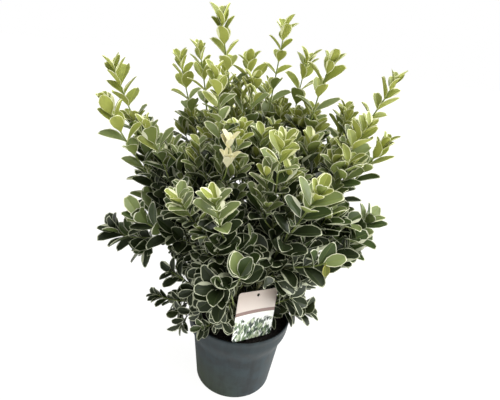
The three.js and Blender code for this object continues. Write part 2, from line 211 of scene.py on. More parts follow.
# Twigs: angles in degrees, and places and bends as shares of a shoot's or a twig's length
BRANCHING = {
    "low_upright": -0.15,
    "upright": 0.6,
    "bare": 22.0,
    "twigs_until": 0.62,
    "bough_bare": 0.16,
    "bough_twig": 62.0,
    "turn_spread": 24.0,
    "roll_spread": 30.0,
    "twig_length": 88.0,
    "twig_fade": 1.18,
    "twig_shortest": 30.0,
    "twig_spread": 0.45,
    "twig_angle": 44.0,
    "twig_bend": 0.55,
    "twig_reach": 0.68,
    "low_lift": -0.25,
    "twig_lift": 0.56,
    "twig_share": 0.7,
    "twig_radius": 1.15,
    "twig_tip": 0.75,
    "twig_bare": 0.26,
    "twig_runs": 6,
    "green_above": 300.0,
    "side_twig_from": 54.0,
    "side_twig_place": 0.4,
    "side_twig_share": 0.48,
    "side_twig_spread": 0.3,
    "side_twig_angle": 46.0,
    "side_twig_tip": 0.6,
}
TWIG_CHECKS = (0.4, 0.55, 0.7, 0.85, 1.0)
# How far leaves open, from the most closed shoot or twig to the most open
OPENNESS = {"shoot": (0.7, 1.45), "twig": (0.8, 1.6)}
# How leaves stand, turn to the light and grow: angles in degrees, and sizes as shares of a full leaf
LEAF = {
    "tip_angle": 24.0,
    "low_tip_angle": 44.0,
    "spread_angle": 48.0,
    "spread_by": 64.0,
    "grown_by": 34.0,
    "low_height": 215.0,
    "full_height": 390.0,
    "bright_side": 335.0,
    "bright_side_size": 0.5,
    "light": (0.05, -0.75, 1.0),
    "light_turn": 0.32,
    "side_light": 1.1,
    "low_light_turn": 0.72,
    "most_turn": 80.0,
    "turned_away": 150.0,
    "end_on": 0.2,
    "size_spread": 0.34,
    "skirt_size": 0.68,
    "inner_size": 0.68,
    "sunny_size": 0.08,
    "largest": 1.08,
    "vigour_spread": 0.18,
}
# Heights, with the size of a leaf there at a shoot's tip and a little way down it, as shares of a full leaf
LEAF_SIZES = (
    (170.0, 0.86, 0.96),
    (300.0, 0.95, 1.04),
    (420.0, 0.68, 1.03),
    (520.0, 0.52, 0.92),
    (615.0, 0.6, 0.8),
    (640.0, 0.74, 0.8),
)
# Forms of leaf, each made twice: for full leaves, and with a wider margin for leaves drawn at a small size
LEAF_FORMS = 6
SMALL_LEAF = {"below": 0.8, "margin": 1.5}
# A leaf in metres: its stations along the rib, and what varies from form to form
BLADE = {
    "stations": (0.0, 0.1, 0.28, 0.5, 0.71, 0.87, 0.965, 1.0),
    "pointed_widest": 0.5,
    "round_widest": 0.6,
    "widest_spread": 0.06,
    "pointed_curve": 0.66,
    "round_curve": 0.48,
    "fold": (0.28, 0.9),
    "droop": (0.02, 0.22),
    "twist": 22.0,
    "width_spread": 0.2,
    "margin_spread": 0.8,
    "scallop": 0.03,
    "stalk": 0.0007,
    "wave": 0.0007,
    "rib": 0.00045,
    "thick": 0.0005,
    "stalk_thick": 0.0011,
    "stalk_until": 0.05,
    "foot_curve": 1.1,
    "tip_at": 1.02,
    "least_green": 0.4,
    "broad_margin": 0.5,
    "most_rib": 0.2,
    "flattened": 0.35,
    "waves": 9.0,
}
# Places along and across a leaf that have to be free, and the places that the next leaves keep clear of
LEAF_CHECKS = ((0.25, 0.4), (0.5, 0.9), (0.75, 0.9), (1.0, 0.0))
LEAF_SPOTS = (0.45, 0.85)
MOST_SPOTS = 40000
# A leaf without room at its own angle is tried at a share of it
LEAF_TRIES = (1.0, 0.6)
# Distances that twigs and leaves keep from what is there
CLEAR = {
    "limb": 1.6,
    "twig_limb": 1.2,
    "card": 4.0,
    "rim": 3.0,
    "above": 2.0,
    "shared": 20.0,
    "leaf": 5.0,
    "past_box": 4.0,
}

# Half the width and height of the ways that stay open to the camera, and how far out they start
VIEWS = {"card": (32.0, 38.0), "spray": (8.0, 30.0), "yellow": (13.0, 14.0), "from": 9.0}

# Where a leaf's age changes, on a scale of height and nearness to the tip that runs from 0 to about 1. The
# last two ages are given by place.
AGE_LIMITS = (0.27, 0.46, 0.76)
AGE = {
    "height": 0.73,
    "tip": 0.5,
    "low_tip": 0.28,
    "twig_tip": 0.85,
    "spread": 0.34,
    "foot": 240.0,
    "top": 555.0,
    "dull_below": 300.0,
    "bright_above": 530.0,
    # inside, inner and outer give darker ages to leaves deep in the crown, which is painted shade; outside
    # gives paler ages past its reach, which is painted light
    "inside": 0.8,
    "inner": 0.45,
    "outer": 0.8,
    "outside": 0.4,
    "young_shoot": 95.0,
    "young_twig": 60.0,
}
AGES = ("old", "grown", "light", "young", "cream", "yellow")
# The crown's reach at some heights, with which a leaf's depth inside it is measured, for the painted shade
# inside the crown and the painted light outside it
CROWN = ((150.0, 140.0), (300.0, 225.0), (450.0, 205.0), (540.0, 180.0), (620.0, 130.0), (670.0, 70.0))
# The one shoot without green in it, and what it carries: a rosette at its tip and one halfway down
CREAM_SPRAY = {
    "bearing": 253.0,
    "reach": 131.0,
    "foot": 445.0,
    "top": 493.0,
    "lean": 3.0,
    "scale": 0.98,
    "joint_drop": 30.0,
    "second_rosette": 20.0,
    "bend": 0.7,
    "owned_at": 0.7,
    "seen_at": 0.6,
    "runs": 10,
}
CREAM_PAIRS = (1.0, 4.0, 8.0, 24.0, 28.0, 32.0)
# The leaf that grows nearest to this place hangs and is yellow
YELLOW_LEAF = {
    "bearing": 314.0,
    "reach": 164.0,
    "height": 336.0,
    "scale": 0.52,
    "half_length": 12.0,
    "outward": 0.3,
    "facing": (0.2, -1.0, 0.4),
}

CARD = {
    "width": 84.0,
    "height": 88.0,
    "thick": 0.9,
    "corner": 5.0,
    "hole": 3.0,
    "hole_drop": 8.0,
    "foot": (-8.0, -95.6, 151.0),
    "yaw": 38.0,
    "lean": 8.0,
    "spin": -8.7,
}

# Layers of leaf shapes printed on the card: turn in radians, leaves across the card, and a shift
PRINTED_SPRAYS = (
    (1.1, 4.2, 0.0),
    (-1.0, 4.6, 3.7),
    (1.45, 5.0, 7.9),
    (0.7, 5.4, 5.3),
    (-1.35, 5.8, 2.2),
    (0.9, 6.6, 9.1),
)
# The card's print: how slender its leaves are, the share of gaps, and the band and sprays as shares of height
PRINT = {
    "slender": 2.6,
    "gaps": 0.22,
    "band": 0.575,
    "band_bow": -0.02,
    "band_half": 0.036,
    "sprays_top": 0.24,
    "sprays_ragged": 0.36,
}

# The photograph's camera, worked out from the pot's ellipses: 400 pixels of focal length on a 500 pixel frame
CAMERA = {
    "place": (-4.7, -627.5, 619.7),
    "pitch": 21.6,
    "roll": 6.7,
    "focal_px": 400.0,
    "width_px": 500.0,
    "sensor": 36.0,
}
# Where the soft lights come from, and their tints
LIGHTS = {
    "key": ((0.5, -0.22, 1.0), (1.0, 0.99, 0.97)),
    "side": ((1.0, 0.15, 0.3), (0.97, 0.99, 1.0)),
}
FLOOR_REACH = 12000.0


def linear(code):
    """A colour written as sRGB hex, as linear red, green and blue."""
    parts = [int(code[i : i + 2], 16) / 255 for i in (0, 2, 4)]
    return tuple(p / 12.92 if p <= 0.04045 else ((p + 0.055) / 1.055) ** 2.4 for p in parts)


def colour(code):
    return (*linear(code), 1.0)


# Settings that a user would change


def length_setting(name, description, metres):
    return bpy.props.FloatProperty(name=name, description=description, default=metres, unit="LENGTH")


def colour_setting(name, description, code):
    values = {"name": name, "description": description, "default": linear(code)}
    return bpy.props.FloatVectorProperty(subtype="COLOR", **values)


def strength_setting(name, description, strength):
    return bpy.props.FloatProperty(name=name, description=description, default=strength)


class ShrubSettings(bpy.types.PropertyGroup):
    """Sizes and colours of the plant."""

    leaf_length: length_setting("Leaf length", "Length of a grown leaf", 0.042)
    leaf_width: length_setting("Leaf width", "Width of a grown leaf", 0.024)
    margin_width: length_setting("Margin", "Width of a leaf's pale edge", 0.00118)
    leaf_seed: bpy.props.IntProperty(
        name="Seed", description="Start of the numbers that vary the plant", default=1
    )
    old_colour: colour_setting("Old leaves", "Blade colour low in the crown", "242E16")
    grown_colour: colour_setting("Grown leaves", "Blade colour in the crown", "3E4E27")
    light_colour: colour_setting("Light leaves", "Blade colour near the tips", "7A8753")
    young_colour: colour_setting("Young leaves", "Blade colour at the top", "8B9443")
    bark_colour: colour_setting("Bark", "Colour of the bark's ridges", "57503A")


class PotSettings(bpy.types.PropertyGroup):
    """Colours of the pot, its filling and the card."""

    plastic_colour: colour_setting("Pot", "Colour of the pot's plastic", "263034")
    compost_colour: colour_setting("Compost", "Colour of the moist compost", "1B1613")
    crumb_size: length_setting("Crumb", "Length of a crumb of bark on the compost", 0.006)
    card_colour: colour_setting("Card", "Ground colour at the top of the card", "C6B5AA")
    band_colour: colour_setting("Band", "Colour of the band across the card", "8A7068")


class StageSettings(bpy.types.PropertyGroup):
    """Light and floor."""

    floor_colour: colour_setting("Floor", "Colour of the floor", "FAFAF9")
    floor_glow: strength_setting("Glow", "Light that comes up through the floor", 1.0)
    key_strength: strength_setting("Key light", "Strength of the soft light from the upper right", 3.35)
    side_strength: strength_setting("Side light", "Strength of the soft light from the right", 2.85)
    softness: bpy.props.FloatProperty(
        name="Softness", description="Width of the lights seen from the plant", default=1.1, subtype="ANGLE"
    )
    sky_strength: strength_setting("Surroundings", "Brightness of the pale surroundings", 0.46)


# Nodes and materials


def feed(socket, value):
    """Gives an input a value, or a link from a socket or from a node's first output in use."""
    if isinstance(value, bpy.types.Node):
        value = next(output for output in value.outputs if output.enabled)
    if isinstance(value, bpy.types.NodeSocket):
        socket.id_data.links.new(value, socket)
    else:
        socket.default_value = value


def add_node(tree, kind, inputs=None, stops=(), **settings):
    """Adds a node with its settings, its inputs by identifier, name or number, and a colour ramp's stops."""
    node = tree.nodes.new(kind)
    for name, value in settings.items():
        setattr(node, name, value)
    for key, value in (inputs or {}).items():
        by_name = (s for s in node.inputs if key in (s.identifier, s.name))
        feed(node.inputs[key] if isinstance(key, int) else next(by_name), value)
    elements = node.color_ramp.elements if stops else ()
    while len(elements) < len(stops):
        elements.new(0.5)
    for element, (place, value) in zip(elements, stops):
        element.position = place
        element.color = value
    return node


def new_material(name, **sockets):
    """A material of one Principled shader, with the shader's own sockets set."""
    material = bpy.data.materials.new(name)
    material.use_nodes = True
    shader = material.node_tree.nodes["Principled BSDF"]
    for key, value in sockets.items():
        feed(shader.inputs[key.replace("_", " ")], value)
    return material, material.node_tree, shader


def layered(tree, ground, *layers):
    """Lays colours over a ground, each with the share of it that shows."""
    for share, layer in layers:
        inputs = {"Factor_Float": share, "A_Color": ground, "B_Color": layer}
        ground = add_node(tree, "ShaderNodeMix", inputs, data_type="RGBA")
    return ground


def pattern(tree, place, period_mm, detail=3.0, roughness=0.55, stretch=(1, 1, 1)):
    """Noise whose features are about a period apart, drawn out along the axes by a stretch."""
    scale = tuple(1 / (period_mm * MM * s) for s in stretch)
    placed = add_node(tree, "ShaderNodeMapping", {"Vector": place, "Scale": scale})
    inputs = {"Vector": placed, "Scale": 1.0, "Detail": detail, "Roughness": roughness}
    return add_node(tree, "ShaderNodeTexNoise", inputs)


def shade(rgb, share):
    return (*[min(1.0, c * share) for c in rgb[:3]], 1.0)


def shades(rgb, *stops):
    """A colour ramp's stops from places and shares of one colour."""
    return [(place, shade(rgb, share)) for place, share in stops]


def pot_plastic(settings):
    # Injection-moulded polypropylene, recycled: dull, clouded and faintly streaked down the wall, with a fine
    # grain, darker towards the rim and a green bloom of algae low on the left.
    material, tree, shader = new_material("polypropylene_moulded_matte", IOR=1.49, Specular_IOR_Level=0.34)
    place = add_node(tree, "ShaderNodeTexCoord").outputs["Object"]
    base = tuple(settings.plastic_colour)
    clouds = pattern(tree, place, 22, detail=6)
    flow = pattern(tree, place, 9, detail=2, stretch=(1, 1, 12))
    specks = pattern(tree, place, 3, detail=1)
    tone = add_node(tree, "ShaderNodeValToRGB", {"Fac": clouds}, shades(base, (0.4, 0.35), (0.62, 1.75)))
    streaks = add_node(tree, "ShaderNodeValToRGB", {"Fac": flow}, shades(base, (0.35, 0.4), (0.7, 1.8)))
    speckled = add_node(tree, "ShaderNodeValToRGB", {"Fac": specks}, shades(base, (0.62, 0.95), (0.7, 1.7)))
    # Along an axis, in metres, each share rises from nothing at the first place to the most at the second
    axes = add_node(tree, "ShaderNodeSeparateXYZ", {"Vector": place})
    shares = []
    for axis, none, full, most in (("Z", 0.085, 0.0, 1.0), ("X", 0.03, -0.06, 1.0), ("Z", 0.1, 0.125, 0.4)):
        inputs = {"Value": axes.outputs[axis], "From Min": none, "From Max": full, "To Max": most}
        shares.append(add_node(tree, "ShaderNodeMapRange", inputs))
    low, left, high = shares
    corner = add_node(tree, "ShaderNodeMath", {0: low, 1: left}, operation="MULTIPLY")
    patchy = add_node(tree, "ShaderNodeMath", {0: corner, 1: clouds}, operation="MULTIPLY")
    algae = add_node(tree, "ShaderNodeMath", {0: patchy, 1: 1.9}, operation="MULTIPLY", use_clamp=True)
    # high makes the wall darker towards the rim
    films = ((0.35, streaks), (algae, colour("3E4A2C")), (high, shade(base, 0.82)), (0.2, speckled))
    feed(shader.inputs["Base Color"], layered(tree, tone, *films))
    inputs = {"Value": clouds, "From Min": 0.3, "From Max": 0.7, "To Min": 0.5, "To Max": 0.68}
    feed(shader.inputs["Roughness"], add_node(tree, "ShaderNodeMapRange", inputs))
    # The mould's grain is 0.2 mm and is drawn at 0.8 mm to show
    grain = pattern(tree, place, 0.8, detail=2)
    fine = add_node(tree, "ShaderNodeBump", {"Height": grain, "Strength": 0.12, "Distance": 0.0002})
    inputs = {"Height": flow, "Strength": 0.2, "Distance": 0.0006, "Normal": fine}
    feed(shader.inputs["Normal"], add_node(tree, "ShaderNodeBump", inputs))
    return material


def compost_peat(settings, name, darkest, palest):
    # Moist peat with bark fines: nearly black, crumbly, no gloss.
    material, tree, shader = new_material(name, IOR=1.4, Roughness=0.92)
    place = add_node(tree, "ShaderNodeTexCoord").outputs["Object"]
    crumbs = pattern(tree, place, 4, detail=5, roughness=0.7)
    stops = shades(tuple(settings.compost_colour), (0.32, darkest), (0.68, palest))
    feed(shader.inputs["Base Color"], add_node(tree, "ShaderNodeValToRGB", {"Fac": crumbs}, stops))
    inputs = {"Height": crumbs, "Strength": 0.7, "Distance": 0.0015}
    feed(shader.inputs["Normal"], add_node(tree, "ShaderNodeBump", inputs))
    return material


def furrowed_bark(settings):
    # Bark of an old euonymus stem: grey-brown with olive ridges, in narrow furrows along the limb, dry.
    material, tree, shader = new_material("stem_bark_furrowed_dry", IOR=1.45, Roughness=0.85)
    place = add_node(tree, "ShaderNodeTexCoord").outputs["Object"]
    furrows = pattern(tree, place, 1.6, detail=4, stretch=(1, 1, 6))
    patches = pattern(tree, place, 14, detail=3)
    stops = shades(tuple(settings.bark_colour), (0.34, 0.35), (0.5, 0.8), (0.72, 1.25))
    tone = add_node(tree, "ShaderNodeValToRGB", {"Fac": furrows}, stops)
    stops = [(0.45, (0, 0, 0, 1)), (0.7, (1, 1, 1, 1))]
    mossy = add_node(tree, "ShaderNodeValToRGB", {"Fac": patches}, stops)
    olive = layered(tree, tone, (0.5, colour("5E6B35")))
    feed(shader.inputs["Base Color"], layered(tree, tone, (mossy, olive)))
    inputs = {"Height": furrows, "Strength": 0.6, "Distance": 0.0006}
    feed(shader.inputs["Normal"], add_node(tree, "ShaderNodeBump", inputs))
    return material


def twig_skins():
    # Living bark: older twigs are olive brown and matt, the last year's are green and waxy.
    olive = new_material("twig_bark_olive", Base_Color=colour("4F5533"), Roughness=0.7, IOR=1.45)
    green = new_material("twig_skin_green_waxy", Base_Color=colour("7A8747"), Roughness=0.45, IOR=1.45)
    return [olive[0], green[0]]


def leaf_finishes(settings):
    """Blade, margin and underside for each age, in the order of AGES."""
    # Evergreen leaf: a thick waxy cuticle gives the blade a soft gloss, the margin has no green in it, and
    # the underside is paler and matt. The colours have a place, so each is a plain colour of its own.
    colours = {
        "old": (settings.old_colour, "BCC0A4", "3D4728"),
        "grown": (settings.grown_colour, "D1D3BA", "5D6A3A"),
        "light": (settings.light_colour, "E1E2C1", "808C4A"),
        "young": (settings.young_colour, "E8E9BA", "A5AB55"),
        "cream": (linear("E6E0B4"), "F0EBCB", "DAD6B0"),
        "yellow": (linear("636A18"), "A8A250", "8E8836"),
    }
    waxy = {"IOR": 1.45, "Roughness": 0.42, "Specular_IOR_Level": 0.32, "Coat_Weight": 0.08}
    waxy["Coat_Roughness"] = 0.22
    edge = {"IOR": 1.45, "Roughness": 0.5}
    matt = {"IOR": 1.42, "Roughness": 0.65, "Specular_IOR_Level": 0.3}
    finishes = []
    for age in AGES:
        blade, margin, underside = colours[age]
        finishes += [
            new_material(f"leaf_blade_waxy_{age}", Base_Color=(*blade, 1.0), **waxy)[0],
            new_material(f"leaf_margin_{age}", Base_Color=colour(margin), **edge)[0],
            new_material(f"leaf_underside_matt_{age}", Base_Color=colour(underside), **matt)[0],
        ]
    return finishes


# Meshes and pieces


def new_object(name, points, faces, edges=()):
    """An object in metres from points in millimetres, linked to the scene."""
    mesh = bpy.data.meshes.new(name)
    mesh.from_pydata([tuple(float(c) * MM for c in p) for p in points], list(edges), list(faces))
    mesh.update()
    piece = bpy.data.objects.new(name, mesh)
    bpy.context.scene.collection.objects.link(piece)
    return piece


def smooth(mesh, angle):
    mesh.shade_smooth()
    mesh.set_sharp_from_angle(angle=math.radians(angle))


def set_attribute(mesh, name, kind, values, domain="POINT"):
    attribute = mesh.attributes.new(name, kind, domain)
    field = "vector" if kind == "FLOAT_VECTOR" else "value"
    attribute.data.foreach_set(field, np.asarray(values).ravel())


# What the points that leaves and twigs grow on say about them
LEAF_FIELDS = {
    "along": "FLOAT_VECTOR",
    "facing": "FLOAT_VECTOR",
    "size": "FLOAT",
    "shape": "INT",
    "age": "INT",
}
TWIG_FIELDS = {"thickness": "FLOAT", "wood": "INT"}


def field(tree, name, kind):
    """A field of a tree that reads a named attribute."""
    return add_node(tree, "GeometryNodeInputNamedAttribute", {"Name": name}, data_type=kind)


def grown_mesh(piece, tree, **inputs):
    """Runs a node tree on a piece, keeps the result as its plain mesh and removes the modifier."""
    modifier = piece.modifiers.new("growth", "NODES")
    modifier.node_group = tree
    for item in tree.interface.items_tree:
        if item.item_type == "SOCKET" and item.in_out == "INPUT" and item.name in inputs:
            modifier[item.identifier] = inputs[item.name]
    bpy.context.view_layer.update()
    evaluated = piece.evaluated_get(bpy.context.evaluated_depsgraph_get())
    mesh = bpy.data.meshes.new_from_object(evaluated)
    piece.modifiers.remove(modifier)
    piece.data = mesh
    for name in (*LEAF_FIELDS, *TWIG_FIELDS, "zone"):
        if name in mesh.attributes:
            mesh.attributes.remove(mesh.attributes[name])


def new_tree(name, *sockets):
    """A Geometry Nodes tree with a mesh in, a mesh out and named inputs."""
    tree = bpy.data.node_groups.new(name, "GeometryNodeTree")
    tree.interface.new_socket("Geometry", in_out="INPUT", socket_type="NodeSocketGeometry")
    tree.interface.new_socket("Geometry", in_out="OUTPUT", socket_type="NodeSocketGeometry")
    for label, kind, value in sockets:
        socket = tree.interface.new_socket(label, in_out="INPUT", socket_type=kind)
        socket.default_value = value
    return tree, add_node(tree, "NodeGroupInput")


def finish_tree(tree, geometry, materials, number=None):
    """Ends a tree with Realize Instances and Set Material, by number where there are several materials."""
    flow = add_node(tree, "GeometryNodeRealizeInstances", {"Geometry": geometry})
    for i, material in enumerate(materials):
        inputs = {"Geometry": flow, "Material": material}
        if number is not None:
            same = {"A_INT": number, "B_INT": i}
            chosen = add_node(tree, "FunctionNodeCompare", same, data_type="INT", operation="EQUAL")
            inputs["Selection"] = chosen
        flow = add_node(tree, "GeometryNodeSetMaterial", inputs)
    add_node(tree, "NodeGroupOutput", {"Geometry": flow})
    return tree


def settle(piece, slot, *nodes):
    """Hands a finished piece to the frame: it rides on the one body and stands for its nodes."""
    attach(piece, "root")
    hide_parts(*nodes)


def grid_faces(rows, columns):
    """Quads over rings of points, ring by ring."""
    faces = []
    for i in range(rows - 1):
        for j in range(columns):
            k = (j + 1) % columns
            faces.append((i * columns + j, i * columns + k, (i + 1) * columns + k, (i + 1) * columns + j))
    return faces


def closed_faces(rows, columns):
    """Quads over rings of points, with a face over the first ring and one over the last."""
    first = tuple(range(columns - 1, -1, -1))
    last = tuple((rows - 1) * columns + j for j in range(columns))
    return grid_faces(rows, columns) + [first, last]


def turned_solid(name, profile, sides):
    """A solid turned from a profile that runs from the axis at the bottom, outside, to the axis again."""
    rings = profile[1:-1]
    points = [polar(360 * j / sides, r, z) for r, z in rings for j in range(sides)]
    faces = grid_faces(len(rings), sides)
    low, high = len(points), len(points) + 1
    last = (len(rings) - 1) * sides
    points += [np.array([0, 0, profile[0][1]]), np.array([0, 0, profile[-1][1]])]
    for j in range(sides):
        k = (j + 1) % sides
        faces.append((low, k, j))
        faces.append((high, last + j, last + k))
    return new_object(name, points, faces)


# Vectors and curves


def unit(vector):
    return vector / np.linalg.norm(vector)


def level(vector):
    return vector * np.array([1.0, 1.0, 0.0])


def polar(bearing, reach, height):
    angle = math.radians(bearing)
    return np.array([reach * math.cos(angle), reach * math.sin(angle), height])


def about(vector, axis, degrees):
    """A vector turned about an axis of unit length."""
    angle = math.radians(degrees)
    across = np.cross(axis, vector)
    kept = axis * np.dot(axis, vector) * (1 - math.cos(angle))
    return vector * math.cos(angle) + across * math.sin(angle) + kept


def dice(seed):
    """Seeded numbers from 0 to 1, the same as the frame's."""
    state = (seed * 7919) % 2147483647

    def roll():
        nonlocal state
        state = (state * 16807) % 2147483647
        return state / 2147483647

    return roll


def varied(spread, roll):
    """A seeded factor about 1."""
    return 1 + spread * (roll() - 0.5)


def ramped(value, low, high):
    """Share of the way from low to high, kept between 0 and 1."""
    return min(1.0, max(0.0, (value - low) / (high - low)))


def mixed(low, high, share):
    return low + (high - low) * share


def above_low(height):
    """How far a height is above the low shoots, from 0 to 1."""
    return ramped(height, LEAF["low_height"], LEAF["full_height"])


class Curve:
    """A Bezier curve that can be walked by length."""

    def __init__(self, *controls):
        self.controls = np.array(controls, float)
        self.steps = np.linspace(0, 1, 101)
        points = np.array([self.point(t) for t in self.steps])
        runs = np.linalg.norm(np.diff(points, axis=0), axis=1)
        self.lengths = np.concatenate([[0], np.cumsum(runs)])
        self.length = self.lengths[-1]

    @staticmethod
    def blend(rows, t):
        while len(rows) > 1:
            rows = rows[:-1] * (1 - t) + rows[1:] * t
        return rows[0]

    def point(self, t):
        return self.blend(self.controls, t)

    def tangent(self, t):
        return unit(self.blend(np.diff(self.controls, axis=0), t))

    def at(self, share):
        """The parameter at a share of the length."""
        return float(np.interp(share * self.length, self.lengths, self.steps))


# The plant's plan, worked out as in the frame


def tip_direction(bearing, height):
    share = ramped(height, SHOOT["low_height"], SHOOT["high_height"])
    tilt = math.radians(SHOOT["low_tilt"] + (SHOOT["high_tilt"] - SHOOT["low_tilt"]) * share)
    return polar(bearing, math.sin(tilt), math.cos(tilt))


def stem_tip(target):
    bearing, reach, height = target
    return polar(bearing, reach, height) - tip_direction(bearing, height) * SHOOT["top_leaf"]


def level_normal(direction, fallback):
    ref = np.cross(direction, UP)
    return unit(ref) if np.linalg.norm(ref) > 0.05 else polar(fallback + 90, 1, 0)


def axis_of(curve):
    """Polyline of a curve, used to measure distances."""
    count = 14
    return np.array([curve.point(i / count) for i in range(count + 1)])


def plan_bough(name, shoots, foot):
    mean = sum(stem_tip(target) for target in shoots) / len(shoots)
    bearing = math.degrees(math.atan2(mean[1], mean[0]))
    reach = max(BOUGH["fork_reach"] * math.hypot(mean[0], mean[1]), math.hypot(foot[0], foot[1]))
    fork = polar(bearing, reach, TRUNK_TOP + BOUGH["fork_rise"] * (mean[2] - TRUNK_TOP))
    away = unit(unit(mean - fork) + UP * BOUGH["lift"])
    span = np.linalg.norm(fork - foot)
    curve = Curve(foot, foot + UP * BOUGH["rise"], fork - away * BOUGH["bend"] * span, fork)
    ref = level_normal(level(fork - foot), bearing)
    plan = {"group": name, "shoots": shoots, "curve": curve, "ref": ref, "fork": fork, "away": away}
    plan.update({"bearing": bearing, "radius": BOUGH["foot_radius"]})
    return plan


def plan_boughs():
    plans = []
    for i, (name, shoots) in enumerate(BOUGHS.items()):
        stand = BOUGH["ring_start"] + 360 / len(BOUGHS) * i
        plans.append(plan_bough(name, shoots, polar(stand, BOUGH["ring"], TRUNK_TOP + SEAT)))
    plans.append(plan_bough("centre", CENTRE_SHOOTS, np.array([0, 0, TRUNK_TOP + SEAT])))
    return plans


def plan_stem(node, group, target, start, set_off, joint):
    """One shoot. The joint is a point inside the limb that it grows from."""
    end = stem_tip(target)
    span = np.linalg.norm(end - start)
    heading = tip_direction(target[0], target[2])
    foot_bend, tip_bend = SHOOT["foot_bend"] * span, SHOOT["tip_bend"] * span
    controls = (start, start + set_off * foot_bend, end - heading * tip_bend, end)
    ref = level_normal(level(end - start), target[0])
    plan = {"node": node, "group": group, "curve": Curve(*controls), "ref": ref, "joint": joint}
    plan.update({"bearing": target[0], "radius": SHOOT["foot_radius"]})
    return plan


def plan_shoots(bough):
    """Shoots stand round their bough's fork, spread evenly and turned towards where they go."""
    away = bough["away"]
    side = unit(bough["ref"] - away * np.dot(bough["ref"], away))
    other = np.cross(away, side)
    placed = []
    for target in bough["shoots"]:
        goal = stem_tip(target) - bough["fork"]
        placed.append((math.atan2(np.dot(goal, other), np.dot(goal, side)), target))
    placed.sort(key=lambda item: item[0])
    share = 2 * math.pi / len(placed)
    lead = sum(turn - share * i for i, (turn, _) in enumerate(placed)) / len(placed)
    stems = []
    for i, (_, target) in enumerate(placed):
        turn = lead + share * i
        offset = (side * math.cos(turn) + other * math.sin(turn)) * SHOOT["spacing"]
        start = bough["fork"] + away * SEAT + offset
        joint = bough["fork"] - away * SHOOT["joint_depth"] + offset * SHOOT["joint_offset"]
        node = f"foliage_{bough['group']}_{i + 1}"
        stems.append(plan_stem(node, bough["group"], target, start, away, joint))
    return stems


def plan_skirts():
    stems = []
    for i, target in enumerate(SKIRTS):
        height = TRUNK_FOOT + 0.5 * TRUNK["height"]
        start = polar(target[0], TRUNK["waist_radius"] + SEAT, height)
        set_off = unit(polar(target[0], 1, SKIRT_RISE))
        joint = start - set_off * SKIRT_JOINT
        stems.append(plan_stem(f"foliage_low_{i + 1}", "low", target, start, set_off, joint))
    return stems


def card_axes():
    """The card's right, up and facing directions."""
    yaw, lean, spin = (math.radians(CARD[key]) for key in ("yaw", "lean", "spin"))
    along = np.array([math.cos(yaw), math.sin(yaw), 0])
    face = np.array([math.sin(yaw), -math.cos(yaw), 0])
    rise = UP * math.cos(lean) - face * math.sin(lean)
    right = along * math.cos(spin) + rise * math.sin(spin)
    up = rise * math.cos(spin) - along * math.sin(spin)
    return right, up, np.cross(right, up)


# Room for a twig or a leaf


def pot_skin(height):
    """The pot's outer radius at a height."""
    heights = (0, POT["shoulder"], POT["collar_foot"], POT["height"])
    radii = (POT["base_radius"], POT["shoulder_radius"], POT["collar_radius"], POT["rim_radius"])
    return float(np.interp(height, heights, radii))


class Segments:
    """The straight runs of several polylines, with the distance of points from each polyline."""

    def __init__(self, polylines):
        self.starts = np.concatenate([p[:-1] for p in polylines])
        self.runs = np.concatenate([np.diff(p, axis=0) for p in polylines])
        counts = [len(p) - 1 for p in polylines]
        self.first = np.concatenate([[0], np.cumsum(counts)[:-1]]).astype(int)
        self.squares = (self.runs**2).sum(-1)

    def distances(self, points):
        gap = points[:, None] - self.starts
        share = np.clip((gap * self.runs).sum(-1) / self.squares, 0, 1)
        off = np.linalg.norm(gap - share[..., None] * self.runs, axis=-1)
        return np.minimum.reduceat(off, self.first, axis=1)


class Room:
    """Tells whether points are free: clear of limbs, pot, card and grown leaves, and near their own limb."""

    def __init__(self, limbs):
        self.limbs = Segments([axis_of(limb["curve"]) for limb in limbs])
        self.radii = np.array([limb["radius"] for limb in limbs])
        self.card = card_axes()
        right, up, _ = self.card
        centre = np.array(CARD["foot"]) + right * CARD["width"] / 2 + up * CARD["height"] / 2
        self.views = [self.view(centre, *VIEWS["card"])]
        self.grown = np.zeros((MOST_SPOTS, 3))
        self.count = 0
        low, high = CAD_BOX
        self.low = np.array(low) / MM - CLEAR["past_box"]
        self.high = np.array(high) / MM + CLEAR["past_box"]

    def view(self, centre, half_width, half_height):
        """A way left open between a place and the camera."""
        sight = unit(np.array(CAMERA["place"]) - centre)
        side = unit(np.cross(UP, sight))
        return centre, sight, side, np.cross(sight, side), half_width, half_height

    def blocked(self, points):
        if (points < self.low).any() or (points > self.high).any():
            return True
        local = points - np.array(CARD["foot"])
        across, along, off = (local @ axis for axis in self.card)
        pad = CLEAR["card"]
        over = (across > -pad) & (across < CARD["width"] + pad)
        if (over & (along > -pad) & (along < CARD["height"] + pad) & (abs(off) < pad)).any():
            return True
        for centre, sight, side, rise, half_width, half_height in self.views:
            gap = points - centre
            inside = (abs(gap @ side) < half_width) & (abs(gap @ rise) < half_height)
            if (inside & (gap @ sight > VIEWS["from"])).any():
                return True
        for x, y, z in points:
            radius = math.hypot(x, y)
            if radius < TRUNK["foot_radius"] and z < TRUNK_TOP:
                return True
            if z > POT["height"] + CLEAR["above"] or radius > pot_skin(max(z, 0)) + CLEAR["rim"]:
                continue
            if radius > POT["rim_inner"] - CLEAR["rim"] or z < COMPOST["middle"] + CLEAR["above"]:
                return True
        return False

    def free(self, points, own, gap):
        if self.blocked(points):
            return False
        distances = self.limbs.distances(points)
        mine = distances[:, own].copy()
        distances[:, own] = np.inf
        if (distances - self.radii).min() < gap:
            return False
        return bool((distances.min(1) > mine - CLEAR["shared"]).all())

    def uncrowded(self, points):
        if self.count == 0:
            return True
        grown = self.grown[: self.count]
        return all(((grown - p) ** 2).sum(1).min() > CLEAR["leaf"] ** 2 for p in points)

    def fill(self, points):
        self.grown[self.count : self.count + len(points)] = points
        self.count += len(points)


# Growth


def yellow_spot():
    return polar(YELLOW_LEAF["bearing"], YELLOW_LEAF["reach"], YELLOW_LEAF["height"])


